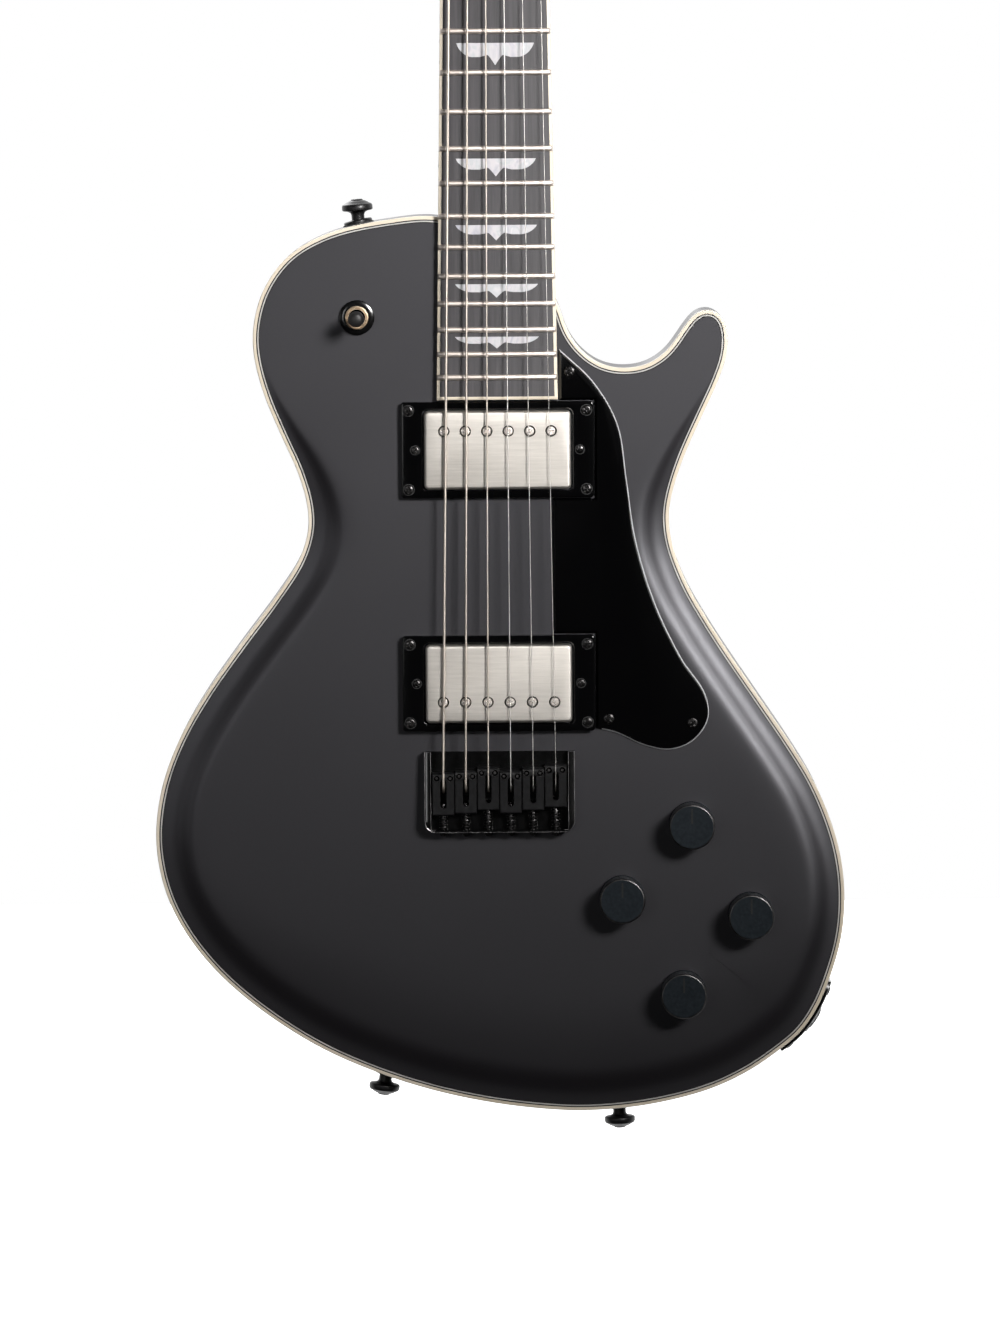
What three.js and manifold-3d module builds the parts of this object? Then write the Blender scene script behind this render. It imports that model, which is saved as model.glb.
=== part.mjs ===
// Six-string electric guitar: single-cutaway carved body, set neck, two humbuckers,
// string-through hardtail bridge, four controls, 3 + 3 headstock.
// Millimetres, +Z up. The front faces -Y and the flat back lies in the plane y = 0.
// x = 0 is the centre line and z = 0 is the scale line at the bridge saddles.

import * as THREE from 'three';
import { mergeVertices } from 'three/addons/utils/BufferGeometryUtils.js';
import Module from 'manifold-3d';

const wasm = await Module();
wasm.setup();

// ---------------------------------------------------------------- dimensions

const SCALE_LENGTH = 647.7;
const BODY_THICKNESS = 44;
const TOP_Y = -BODY_THICKNESS;
const LIP_DROP = 4.6;
const BACK_RADIUS = 3.2;
const GAP = 0.3;

const BINDING_WIDTH = 1.6;
const BINDING_HEIGHT = 5.7;
const BODY_STEPS = 100;

const BOARD_END = 171.2;
const BOARD_HALF_AT_END = 28.4;
const BOARD_HALF_AT_NUT = 21.3;
const BOARD_THICKNESS = 5.5;
const BOARD_Y = TOP_Y - BOARD_THICKNESS;
const BOARD_RADIUS = 305;
const BOARD_BINDING = 1.5;
const FRET_COUNT = 22;
const FRET_WIDTH = 2.6;
const FRET_HEIGHT = 1.1;

const NUT_WIDTH = 4;
const NUT_TOP_Y = -51.9;
const HEEL_END = 172;
const HEEL_DEPTH = 17;
const HEADSTOCK_START = 652;
const HEADSTOCK_FACE_Y = -45.5;
const HEADSTOCK_THICKNESS = 14.5;
const HEADSTOCK_ANGLE = THREE.MathUtils.degToRad(10);

const STRING_NAMES = ['e6', 'a5', 'd4', 'g3', 'b2', 'e1'];
const STRING_RADII = [0.62, 0.5, 0.38, 0.26, 0.2, 0.16];
const STRING_PITCH_AT_BRIDGE = 10.56;
const STRING_PITCH_AT_NUT = 7;
const STRING_Y_AT_BRIDGE = -54.6;
const STRING_Y_AT_NUT = -51.5;
const STRING_HOLE_Z = -14;
const STRING_HOLE_RADIUS = 1.7;

const PICKUP_RING = { halfWidth: 45.25, halfHeight: 22.6, corner: 1.6 };
const PICKUP_COVER = { halfWidth: 34.4, halfHeight: 18.4, corner: 2.4, wall: 0.8 };
const NECK_PICKUP = { z: 147.7, ringY: -48, coverY: -51.5, poleZ: 156.6, polePitch: 10.05 };
const BRIDGE_PICKUP = { z: 37.9, ringY: -49.4, coverY: -52.3, poleZ: 29.3, polePitch: 10.45 };

const BRIDGE_HALF_WIDTH = 35.5;
const BRIDGE_FRONT = 5.6;
const BRIDGE_REAR = -32.3;
const BRIDGE_PLATE_TOP = TOP_Y - 1.6;
const BRIDGE_WALL_TOP = -53;
const SADDLE_LENGTH = 20;
const SADDLE_WIDTH = 10.26;
const SADDLE_FRONTS = [-4, -3.1, -1.5, -3.1, -1.7, -0.3];
const SADDLE_BOTTOM = -46.6;

const KNOB_CENTRES = [
  [90.2, -29.3],
  [57.4, -64.1],
  [118, -72.2],
  [86.2, -109.3],
];
const KNOB_RADIUS = 10.7;
const KNOB_TOP_Y = -61;
const KNOB_BOTTOM_Y = -44.9;
const CAVITY_CEILING = -36.6;

const SWITCH_CENTRE = [-65.5, 209.9];
const SWITCH_CAVITY_RADIUS = 22;
const SWITCH_PIVOT_Y = -40;

const COVER_RECESS = 2.2;
const COVER_MARGIN = 5;

const STRAP_BUTTONS = [
  ['strap_button_upper', [-64.4, 253.6]],
  ['strap_button_lower_left', [-54.4, -149.2]],
  ['strap_button_lower_right', [56, -165.8]],
];
const STRAP_BUTTON_Y = -22;

const JACK_TARGET = [145.5, -124.3];
const JACK_Y = -21.5;
const JACK_PLATE_HEIGHT = 32;
const JACK_PLATE_THICKNESS = 1.6;

const TUNER_ALONG = [40, 80, 120];
const TUNER_ACROSS = [23, 25.5, 28];
const TUNER_BUTTON_START = [39, 42, 44];
const WORM_OFFSET = -8;
const WORM_DEPTH = 19.5;

// Outline of the body, counterclockwise seen from the front: (x, z).
const BODY_OUTLINE = [
  [-28, 256.9], [-50, 255.6], [-78, 249.6], [-97, 239.2], [-108.8, 223.8],
  [-113.9, 207], [-114, 193], [-109.5, 174.5], [-101.8, 155.4], [-93.8, 137],
  [-89.6, 121.5], [-89.3, 110], [-93.6, 96.1], [-104.4, 79.2], [-123.5, 53.8],
  [-138.5, 32.6], [-150.8, 11.4], [-158.9, -9.9], [-162.3, -31.2], [-161.2, -48.3],
  [-156.5, -65.4], [-147.4, -82.6], [-133.5, -99.9], [-114, -117.1], [-87.6, -134.5],
  [-62, -146.4], [-33.8, -155.9], [-5, -162.3], [23, -165.8], [42, -166.4],
  [70.3, -163.7], [98.7, -156.6], [117.7, -147.7], [131, -138.6], [142, -129.3],
  [150.2, -117], [156.4, -101.6], [161.1, -84.5], [162.7, -67.4], [161.6, -50.3],
  [157.6, -33.2], [148.9, -11.6], [138.7, 5.7], [121.3, 31.7], [109.6, 49],
  [98.6, 66.2], [88.9, 83.5], [82.2, 101], [80.4, 112], [80.7, 120.5],
  [83.4, 132], [88.3, 145.8], [95.9, 162.7], [103.6, 179.5], [107.5, 191],
  [108.2, 200], [107, 206.6], [103.6, 211.2], [98.5, 212.7], [93.6, 211.2],
  [90, 207.6], [85.9, 201.9], [81, 195], [74.9, 189.6], [67.6, 186.3],
  [59.1, 185.4], [51.9, 186.4], [44.6, 189.8], [37.4, 196.5], [32.6, 204.4],
  [29.6, 213.5], [22, 228], [8, 242], [-10, 251],
];

// Free edge of the pickguard, from the bridge pickup ring round to the fretboard.
const PICKGUARD_EDGE = [
  [46.3, 16], [55.2, 13.9], [67.8, 8.1], [80.3, 5.8], [91.2, 9.9], [98.4, 20.2],
  [97.1, 32], [85.9, 49.1], [73.4, 75.6], [64.6, 105.3], [60.6, 133], [56.4, 159.4],
  [45.2, 179.2], [29, 194.8],
];
const PICKGUARD_THICKNESS = 2.4;

const CONTROL_CAVITY = [
  [88, -8], [112, -24], [142, -62], [142, -84], [118, -112], [92, -132],
  [74, -128], [52, -102], [36, -70], [38, -52], [62, -22],
];

// Right half of the headstock, from the nut up: (x, distance along the face).
const HEADSTOCK_HALF = [
  [21.3, -4], [22, 6], [27, 20], [33.5, 32], [36.4, 46], [37.6, 80],
  [39.2, 115], [41.4, 140], [41, 153], [34, 164], [22, 167.5], [10, 164],
];
const HEADSTOCK_DIP = 160;

// ------------------------------------------------------------------- helpers

const group = new THREE.Group();

function material(colour, roughness, metalness) {
  return new THREE.MeshStandardMaterial({ color: colour, roughness, metalness });
}

const LOOKS = {
  charcoal: () => material(0x3a3a3c, 0.45, 0.1),
  cream: () => material(0xefe2c4, 0.4, 0),
  maple: () => material(0x2c2a2b, 0.45, 0),
  ebony: () => material(0x2e2b2b, 0.55, 0),
  bone: () => material(0xe9e2cf, 0.45, 0),
  glossBlack: () => material(0x0a0a0b, 0.12, 0),
  blackMetal: () => material(0x1d1e21, 0.35, 0.8),
  slateMetal: () => material(0x23292e, 0.35, 0.8),
  nickel: () => material(0xc8c3bc, 0.3, 1),
  steel: () => material(0x9a9894, 0.4, 1),
  bronze: () => material(0x9c8f7e, 0.4, 1),
  board: () => material(0x2f4a35, 0.6, 0),
};

function add(name, geometry, look, parent = group) {
  const mesh = new THREE.Mesh(geometry, LOOKS[look]());
  mesh.name = name;
  parent.add(mesh);
  return mesh;
}

// A closed geometry as a solid that can be joined and cut.
function solid(geometry) {
  const bare = geometry.clone();
  bare.deleteAttribute('normal');
  bare.deleteAttribute('uv');
  const merged = mergeVertices(bare, 1e-4);
  const mesh = new wasm.Mesh({
    numProp: 3,
    vertProperties: Float32Array.from(merged.attributes.position.array),
    triVerts: Uint32Array.from(merged.index.array),
  });
  return new wasm.Manifold(mesh);
}

function geometryOf(shape) {
  const mesh = shape.getMesh();
  const geometry = new THREE.BufferGeometry();
  const count = mesh.vertProperties.length / mesh.numProp;
  const position = new Float32Array(count * 3);
  for (let i = 0; i < count; i += 1) {
    for (let k = 0; k < 3; k += 1) {
      position[i * 3 + k] = mesh.vertProperties[i * mesh.numProp + k];
    }
  }
  geometry.setAttribute('position', new THREE.BufferAttribute(position, 3));
  geometry.setIndex(new THREE.BufferAttribute(Uint32Array.from(mesh.triVerts), 1));
  geometry.computeVertexNormals();
  return geometry;
}

function join(...geometries) {
  return geometries.map(solid).reduce((whole, next) => whole.add(next));
}

function cutFrom(whole, ...geometries) {
  return geometries.map(solid).reduce((rest, next) => rest.subtract(next), whole);
}

function signedArea(points) {
  return THREE.ShapeUtils.area(points);
}

// Triangles over a flat ring, wound the same way as the ring.
function capTriangles(ring, flatten) {
  const flat = ring.map(flatten);
  const triangles = THREE.ShapeUtils.triangulateShape(flat, []);
  const [a, b, c] = triangles[0].map((i) => flat[i]);
  const sameWay = signedArea([a, b, c]) > 0 === signedArea(flat) > 0;
  return sameWay ? triangles : triangles.map((t) => [t[0], t[2], t[1]]);
}

function meshOf(points, triangles) {
  let volume = 0;
  for (const [a, b, c] of triangles) {
    volume += points[a].dot(points[b].clone().cross(points[c]));
  }
  const facing = volume > 0 ? triangles : triangles.map((t) => [t[0], t[2], t[1]]);
  const geometry = new THREE.BufferGeometry();
  geometry.setFromPoints(points);
  geometry.setIndex(facing.flat());
  geometry.computeVertexNormals();
  return geometry;
}

const seenFromFront = (p) => new THREE.Vector2(p.x, p.z);
const seenFromAbove = (p) => new THREE.Vector2(p.x, p.y);

// Skin through rings of equal count, closed by a flat cap at each end.
function loft(rings, flatten) {
  const count = rings[0].length;
  const last = (rings.length - 1) * count;
  const triangles = [];
  for (let r = 0; r + 1 < rings.length; r += 1) {
    for (let i = 0; i < count; i += 1) {
      const j = (i + 1) % count;
      const low = r * count;
      const high = low + count;
      triangles.push([low + i, low + j, high + j], [low + i, high + j, high + i]);
    }
  }
  for (const [a, b, c] of capTriangles(rings[0], flatten)) {
    triangles.push([a, c, b]);
  }
  for (const [a, b, c] of capTriangles(rings[rings.length - 1], flatten)) {
    triangles.push([last + a, last + b, last + c]);
  }
  return meshOf(rings.flat(), triangles);
}

// Skin through rings whose last ring joins the first: a frame with a solid section.
function frameLoft(rings) {
  const count = rings[0].length;
  const triangles = [];
  for (let r = 0; r < rings.length; r += 1) {
    for (let i = 0; i < count; i += 1) {
      const j = (i + 1) % count;
      const low = r * count;
      const high = ((r + 1) % rings.length) * count;
      triangles.push([low + i, low + j, high + j], [low + i, high + j, high + i]);
    }
  }
  return meshOf(rings.flat(), triangles);
}

// Points moved inward from a counterclockwise outline by a distance at each point.
function inset(outline, distance) {
  const count = outline.length;
  return outline.map((point, i) => {
    const before = outline[(i + count - 1) % count];
    const after = outline[(i + 1) % count];
    const first = point.clone().sub(before).normalize();
    const second = after.clone().sub(point).normalize();
    const inward = new THREE.Vector2(-first.y - second.y, first.x + second.x).normalize();
    const spread = inward.x * -first.y + inward.y * first.x;
    const amount = typeof distance === 'function' ? distance(point, i) : distance;
    return point.clone().addScaledVector(inward, amount / Math.max(spread, 0.5));
  });
}

function closedCurve(knots, steps) {
  const points = knots.map(([x, z]) => new THREE.Vector3(x, z, 0));
  const curve = new THREE.CatmullRomCurve3(points, true, 'centripetal');
  return curve.getSpacedPoints(steps).slice(0, steps).map((p) => new THREE.Vector2(p.x, p.y));
}

function openCurve(knots, steps) {
  const points = knots.map(([x, z]) => new THREE.Vector3(x, z, 0));
  const curve = new THREE.CatmullRomCurve3(points, false, 'centripetal');
  return curve.getSpacedPoints(steps).map((p) => new THREE.Vector2(p.x, p.y));
}

function ringAt(outline, y) {
  return outline.map((p, i) => new THREE.Vector3(p.x, typeof y === 'function' ? y(i) : y, p.y));
}

// A flat piece lying parallel to the front, with a chamfer round its front edge.
function slab(outline, backY, frontY, chamfer = 0) {
  const rings = [ringAt(outline, backY)];
  if (chamfer > 0) {
    rings.push(ringAt(outline, frontY + chamfer));
    rings.push(ringAt(inset(outline, chamfer), frontY));
  } else {
    rings.push(ringAt(outline, frontY));
  }
  return loft(rings, seenFromFront);
}

function roundedRectangle(x, z, halfWidth, halfHeight, radius, cornerSteps = 3) {
  const points = [];
  const corners = [[1, 1, 0], [-1, 1, 1], [-1, -1, 2], [1, -1, 3]];
  for (const [sx, sz, quarter] of corners) {
    for (let k = 0; k <= cornerSteps; k += 1) {
      const angle = (quarter + k / cornerSteps) * Math.PI / 2;
      const cx = x + sx * (halfWidth - radius);
      const cz = z + sz * (halfHeight - radius);
      points.push(new THREE.Vector2(cx + radius * Math.cos(angle), cz + radius * Math.sin(angle)));
    }
  }
  return points;
}

// A round rod through the top, along Y, between two depths.
function pin(x, z, radius, fromY, toY, sides = 16) {
  const geometry = new THREE.CylinderGeometry(radius, radius, Math.abs(toY - fromY), sides);
  geometry.translate(x, (fromY + toY) / 2, z);
  return geometry;
}

function block(x0, x1, y0, y1, z0, z1) {
  const geometry = new THREE.BoxGeometry(x1 - x0, y1 - y0, z1 - z0);
  geometry.translate((x0 + x1) / 2, (y0 + y1) / 2, (z0 + z1) / 2);
  return geometry;
}

function turned(profile, sides) {
  const points = profile.map(([radius, height]) => new THREE.Vector2(radius, height));
  return new THREE.LatheGeometry(points, sides);
}

function smooth(low, high, value) {
  const t = THREE.MathUtils.clamp((value - low) / (high - low), 0, 1);
  return t * t * (3 - 2 * t);
}

// ---------------------------------------------------------------------- body

const outline = closedCurve(BODY_OUTLINE, BODY_STEPS);

// The top is carved fully round the lower bout and waist; the carve fades into the upper bouts.
const carveAt = (i) => 1 - smooth(95, 190, outline[i].y);
// The shoulder of the carve is broader across the bottom of the lower bout.
const shoulderAt = (i) => 8 * (1 - smooth(-150, -60, outline[i].y));
const lipAt = (i) => TOP_Y + LIP_DROP * carveAt(i);
const insetBy = (amount) => inset(outline, (p, i) => amount(i));
const rabbet = BINDING_WIDTH + GAP;

const neckHalfAt = (z) => {
  const t = (z - BOARD_END) / (SCALE_LENGTH - BOARD_END);
  return THREE.MathUtils.lerp(BOARD_HALF_AT_END, BOARD_HALF_AT_NUT, t);
};

function taperedBlock(margin, z0, z1, y0, y1) {
  const corners = [
    new THREE.Vector2(neckHalfAt(z0) + margin, z0),
    new THREE.Vector2(neckHalfAt(z1) + margin, z1),
    new THREE.Vector2(-neckHalfAt(z1) - margin, z1),
    new THREE.Vector2(-neckHalfAt(z0) - margin, z0),
  ];
  return slab(corners, y1, y0);
}

const neckPocket = taperedBlock(GAP, HEEL_END - GAP, 300, -70, TOP_Y + HEEL_DEPTH + GAP);

const cavityOutline = closedCurve(CONTROL_CAVITY, 32);
const coverOutline = inset(cavityOutline, -COVER_MARGIN);

// The nearest point of the outline, and the direction that points out of the body there.
function edgeNear([x, z]) {
  const target = new THREE.Vector2(x, z);
  let best = 0;
  for (let i = 1; i < outline.length; i += 1) {
    if (outline[i].distanceTo(target) < outline[best].distanceTo(target)) {
      best = i;
    }
  }
  const count = outline.length;
  const along = outline[(best + 1) % count].clone().sub(outline[(best + count - 1) % count]);
  const outward = new THREE.Vector2(along.y, -along.x).normalize();
  return { index: best, point: outline[best].clone(), outward };
}

const jack = edgeNear(JACK_TARGET);

// Geometry made along +Y, turned to point out of the body's side at an edge point.
function outOfSide(geometry, point, outward, y) {
  const turn = new THREE.Quaternion().setFromUnitVectors(
    new THREE.Vector3(0, 1, 0),
    new THREE.Vector3(outward.x, 0, outward.y),
  );
  geometry.applyQuaternion(turn);
  geometry.translate(point.x, y, point.y);
  return geometry;
}

{
  const rings = [
    ringAt(insetBy(() => BACK_RADIUS), 0),
    ringAt(insetBy(() => BACK_RADIUS * 0.29), -BACK_RADIUS * 0.29),
    ringAt(outline, -BACK_RADIUS),
    ringAt(outline, (i) => lipAt(i) + BINDING_HEIGHT + GAP),
    ringAt(insetBy(() => rabbet), (i) => lipAt(i) + BINDING_HEIGHT + GAP),
    ringAt(insetBy(() => rabbet), lipAt),
    ringAt(insetBy((i) => 2.4 + 4 * carveAt(i)), lipAt),
    ringAt(insetBy((i) => 3 + (8 + shoulderAt(i) * 0.3) * carveAt(i)), (i) => (lipAt(i) + TOP_Y) / 2),
    ringAt(insetBy((i) => 3.6 + (12.4 + shoulderAt(i)) * carveAt(i)), TOP_Y),
  ];
  const cuts = [neckPocket];
  for (const pickup of [NECK_PICKUP, BRIDGE_PICKUP]) {
    const pocket = roundedRectangle(0, pickup.z, 37.5, 20.5, 4);
    cuts.push(slab(pocket, TOP_Y + 22, TOP_Y - 5));
    cuts.push(block(-43.5, 43.5, TOP_Y - 5, TOP_Y + 24, pickup.z - 7, pickup.z + 7));
  }
  cuts.push(slab(cavityOutline, 5, CAVITY_CEILING));
  cuts.push(slab(inset(cavityOutline, -COVER_MARGIN - GAP), 5, -COVER_RECESS));
  cuts.push(pin(SWITCH_CENTRE[0], SWITCH_CENTRE[1], SWITCH_CAVITY_RADIUS, 5, CAVITY_CEILING, 24));
  cuts.push(pin(SWITCH_CENTRE[0], SWITCH_CENTRE[1], SWITCH_CAVITY_RADIUS + COVER_MARGIN + GAP,
    5, -COVER_RECESS, 24));
  cuts.push(pin(SWITCH_CENTRE[0], SWITCH_CENTRE[1], 6, -30, -50, 16));
  for (const [x, z] of KNOB_CENTRES) {
    cuts.push(pin(x, z, 5, -30, -50, 12));
  }
  for (let i = 0; i < 6; i += 1) {
    const x = (i - 2.5) * STRING_PITCH_AT_BRIDGE;
    cuts.push(pin(x, STRING_HOLE_Z, STRING_HOLE_RADIUS, 5, -50, 8));
    cuts.push(pin(x, STRING_HOLE_Z, 3.9, 5, -9, 12));
  }
  const bore = new THREE.CylinderGeometry(10.5, 10.5, 50, 16);
  bore.translate(0, -19, 0);
  cuts.push(outOfSide(bore, jack.point, jack.outward, JACK_Y));
  add('body', geometryOf(cutFrom(solid(loft(rings, seenFromFront)), ...cuts)), 'charcoal');
}

{
  const strip = frameLoft([
    ringAt(outline, (i) => lipAt(i) + BINDING_HEIGHT),
    ringAt(insetBy(() => BINDING_WIDTH), (i) => lipAt(i) + BINDING_HEIGHT),
    ringAt(insetBy(() => BINDING_WIDTH), lipAt),
    ringAt(outline, lipAt),
  ]);
  add('body_binding', geometryOf(cutFrom(solid(strip), neckPocket)), 'cream');
}

// ---------------------------------------------------------------------- neck

// Everything on the headstock is placed in this group: y = 0 is its face, +Z runs up it.
const headstock = new THREE.Group();
headstock.position.set(0, HEADSTOCK_FACE_Y, HEADSTOCK_START);
headstock.rotation.x = -HEADSTOCK_ANGLE;
headstock.updateMatrix();
group.add(headstock);

// Back of the neck: power 2 is round, a high power is nearly square.
function neckSection(z, depth, power) {
  const half = neckHalfAt(Math.min(z, SCALE_LENGTH));
  const ring = [];
  for (let k = 0; k <= 12; k += 1) {
    const angle = (k / 12) * Math.PI;
    const across = Math.sign(Math.cos(angle)) * Math.abs(Math.cos(angle)) ** (2 / power);
    const back = Math.abs(Math.sin(angle)) ** (2 / power);
    ring.push(new THREE.Vector3(half * across, TOP_Y + depth * back, z));
  }
  return ring;
}

{
  const shaft = loft([
    neckSection(HEEL_END, HEEL_DEPTH, 14),
    neckSection(250, HEEL_DEPTH, 14),
    neckSection(262, HEEL_DEPTH, 5),
    neckSection(285, HEEL_DEPTH, 2.6),
    neckSection(460, 16.4, 2.3),
    neckSection(618, 15.6, 2.2),
    neckSection(640, 17.4, 2.2),
    neckSection(655, 13.2, 2.4),
  ], seenFromAbove);
  const right = openCurve(HEADSTOCK_HALF, 18);
  const left = right.map((p) => new THREE.Vector2(-p.x, p.y)).reverse();
  const face = [...right, new THREE.Vector2(0, HEADSTOCK_DIP), ...left];
  const head = slab(face, HEADSTOCK_THICKNESS, 0);
  head.applyMatrix4(headstock.matrix);
  const cuts = [
    block(-40, 40, -70, TOP_Y, 560, HEADSTOCK_START),
    block(-3.3, 3.3, -60, TOP_Y + 9.3, 178, 660),
    block(-5, 5, -60, TOP_Y + 9.3, HEADSTOCK_START + 3, HEADSTOCK_START + 20),
  ];
  for (let i = 0; i < 3; i += 1) {
    for (const side of [-1, 1]) {
      const hole = pin(side * TUNER_ACROSS[i], TUNER_ALONG[i], 5.3, -5, 20, 12);
      cuts.push(hole.applyMatrix4(headstock.matrix));
    }
  }
  add('neck', geometryOf(cutFrom(join(shaft, head), ...cuts)), 'maple');
}

add('truss_rod', geometryOf(join(
  block(-2.9, 2.9, TOP_Y + 0.4, TOP_Y + 8.8, 182, HEADSTOCK_START + 2),
  new THREE.CylinderGeometry(3.2, 3.2, 12, 6).rotateX(Math.PI / 2)
    .translate(0, TOP_Y + 4.8, HEADSTOCK_START + 7.5),
)), 'steel');

{
  const cover = closedCurve([
    [8.5, 1], [9.2, 12], [6, 24], [2, 34], [0, 36], [-2, 34], [-6, 24], [-9.2, 12], [-8.5, 1],
    [0, 0],
  ], 24);
  const lifted = cover.map((p) => new THREE.Vector2(p.x, p.y + 3));
  add('truss_rod_cover', slab(lifted, -GAP, -GAP - 2), 'glossBlack', headstock);
}

// ----------------------------------------------------------------- fretboard

const sagAt = (x) => BOARD_RADIUS - Math.sqrt(BOARD_RADIUS ** 2 - x ** 2);

function boardSection(z, half, surfaceY, bottomY) {
  const ring = [new THREE.Vector3(half, bottomY, z)];
  for (let k = 0; k <= 4; k += 1) {
    const x = half * (1 - k / 2);
    ring.push(new THREE.Vector3(x, surfaceY + sagAt(x), z));
  }
  ring.push(new THREE.Vector3(-half, bottomY, z));
  return ring;
}

{
  const side = BOARD_BINDING + GAP;
  const coreEnd = BOARD_END + side;
  const core = loft([
    boardSection(coreEnd, neckHalfAt(coreEnd) - side, BOARD_Y, TOP_Y),
    boardSection(SCALE_LENGTH, neckHalfAt(SCALE_LENGTH) - side, BOARD_Y, TOP_Y),
  ], seenFromAbove);
  const frets = [];
  for (let n = 1; n <= FRET_COUNT; n += 1) {
    const z = SCALE_LENGTH * 2 ** (-n / 12);
    const half = neckHalfAt(z) - side - 0.25;
    const foot = BOARD_Y + 0.8;
    const crown = BOARD_Y - FRET_HEIGHT;
    frets.push(loft([
      boardSection(z - FRET_WIDTH / 2, half, BOARD_Y - 0.4, foot + 2),
      boardSection(z, half, crown, foot + 2),
      boardSection(z + FRET_WIDTH / 2, half, BOARD_Y - 0.4, foot + 2),
    ], seenFromAbove));
  }
  add('fretboard', geometryOf(join(core, ...frets)), 'ebony');
}

{
  const outer = loft([
    boardSection(BOARD_END, neckHalfAt(BOARD_END), BOARD_Y, TOP_Y),
    boardSection(SCALE_LENGTH, neckHalfAt(SCALE_LENGTH), BOARD_Y, TOP_Y),
  ], seenFromAbove);
  const hollow = slab([
    new THREE.Vector2(neckHalfAt(BOARD_END) - BOARD_BINDING, BOARD_END + BOARD_BINDING),
    new THREE.Vector2(neckHalfAt(SCALE_LENGTH + 5) - BOARD_BINDING, SCALE_LENGTH + 5),
    new THREE.Vector2(-neckHalfAt(SCALE_LENGTH + 5) + BOARD_BINDING, SCALE_LENGTH + 5),
    new THREE.Vector2(-neckHalfAt(BOARD_END) + BOARD_BINDING, BOARD_END + BOARD_BINDING),
  ], TOP_Y + 5, -60);
  add('fretboard_binding', geometryOf(cutFrom(solid(outer), hollow)), 'cream');
}

{
  const half = BOARD_HALF_AT_NUT;
  const bar = block(-half, half, NUT_TOP_Y, TOP_Y, SCALE_LENGTH + GAP, SCALE_LENGTH + NUT_WIDTH);
  const slots = [];
  for (let i = 0; i < 6; i += 1) {
    const x = (i - 2.5) * STRING_PITCH_AT_NUT;
    const reach = STRING_RADII[i] + GAP;
    const depth = STRING_Y_AT_NUT + 0.6 + reach;
    slots.push(block(x - reach, x + reach, -60, depth, 600, 700));
  }
  add('nut', geometryOf(cutFrom(solid(bar), ...slots)), 'bone');
}

// ------------------------------------------------------------------- pickups

for (const [name, pickup] of [['neck', NECK_PICKUP], ['bridge', BRIDGE_PICKUP]]) {
  const { z, ringY, coverY, poleZ, polePitch } = pickup;
  const { halfWidth, halfHeight, corner, wall } = PICKUP_COVER;
  const rim = roundedRectangle(0, z, PICKUP_RING.halfWidth, PICKUP_RING.halfHeight, PICKUP_RING.corner);
  const window = roundedRectangle(0, z, halfWidth + 0.8, halfHeight + 0.8, corner);
  const ring = cutFrom(solid(slab(rim, TOP_Y, ringY, 0.7)), slab(window, TOP_Y + 5, ringY - 5));
  add(`${name}_pickup_ring`, geometryOf(ring), 'glossBlack');

  const poles = [0, 1, 2, 3, 4, 5].map((i) => (i - 2.5) * polePitch);
  const shell = solid(slab(roundedRectangle(0, z, halfWidth, halfHeight, corner), coverY + 17, coverY, 0.7));
  const inside = roundedRectangle(0, z, halfWidth - wall, halfHeight - wall, corner - wall);
  const cover = cutFrom(
    shell,
    slab(inside, coverY + 30, coverY + wall),
    ...poles.map((x) => pin(x, poleZ, 2.7, coverY - 5, coverY + 5, 10)),
  );
  add(`${name}_pickup_cover`, geometryOf(cover), 'nickel');

  const room = wall + GAP;
  const bobbins = slab(
    roundedRectangle(0, z, halfWidth - room, halfHeight - room, 1),
    coverY + 16,
    coverY + wall + GAP,
  );
  const baseplate = block(-41.5, 41.5, coverY + 17.3, coverY + 18.5, z - 6, z + 6);
  const underside = block(-33, 33, coverY + 15, coverY + 18.5, z - 17, z + 17);
  const heads = poles.map((x) => pin(x, poleZ, 2.3, coverY + 5, coverY + 0.2, 8));
  add(`${name}_pickup_core`, geometryOf(join(bobbins, underside, baseplate, ...heads)), 'blackMetal');
}

// ----------------------------------------------------------------- pickguard

{
  const edge = openCurve(PICKGUARD_EDGE, 40);
  const ringSide = PICKUP_RING.halfWidth + 0.4;
  const neckLow = NECK_PICKUP.z - PICKUP_RING.halfHeight - 0.5;
  const neckHigh = NECK_PICKUP.z + PICKUP_RING.halfHeight + 0.5;
  const bridgeHigh = BRIDGE_PICKUP.z + PICKUP_RING.halfHeight + 0.5;
  const guard = [
    new THREE.Vector2(BOARD_HALF_AT_END + 0.6, neckHigh),
    new THREE.Vector2(ringSide, neckHigh),
    new THREE.Vector2(ringSide, neckLow),
    new THREE.Vector2(25.5, neckLow),
    new THREE.Vector2(25.5, bridgeHigh),
    new THREE.Vector2(ringSide, bridgeHigh),
    new THREE.Vector2(ringSide, 16.3),
    ...edge.slice(1),
  ];
  add('pickguard', slab(guard, TOP_Y, TOP_Y - PICKGUARD_THICKNESS, 0.8), 'glossBlack');
}

// -------------------------------------------------------------------- bridge

function stringAtBridge(i) {
  return (i - 2.5) * STRING_PITCH_AT_BRIDGE;
}

const screwEndAt = (i) => SADDLE_FRONTS[i] - 16;
const SCREW_Y = -49.3;

function rodAlongZ(x, y, radius, z0, z1, sides) {
  const geometry = new THREE.CylinderGeometry(radius, radius, z1 - z0, sides);
  geometry.rotateX(Math.PI / 2);
  geometry.translate(x, y, (z0 + z1) / 2);
  return geometry;
}

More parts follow.
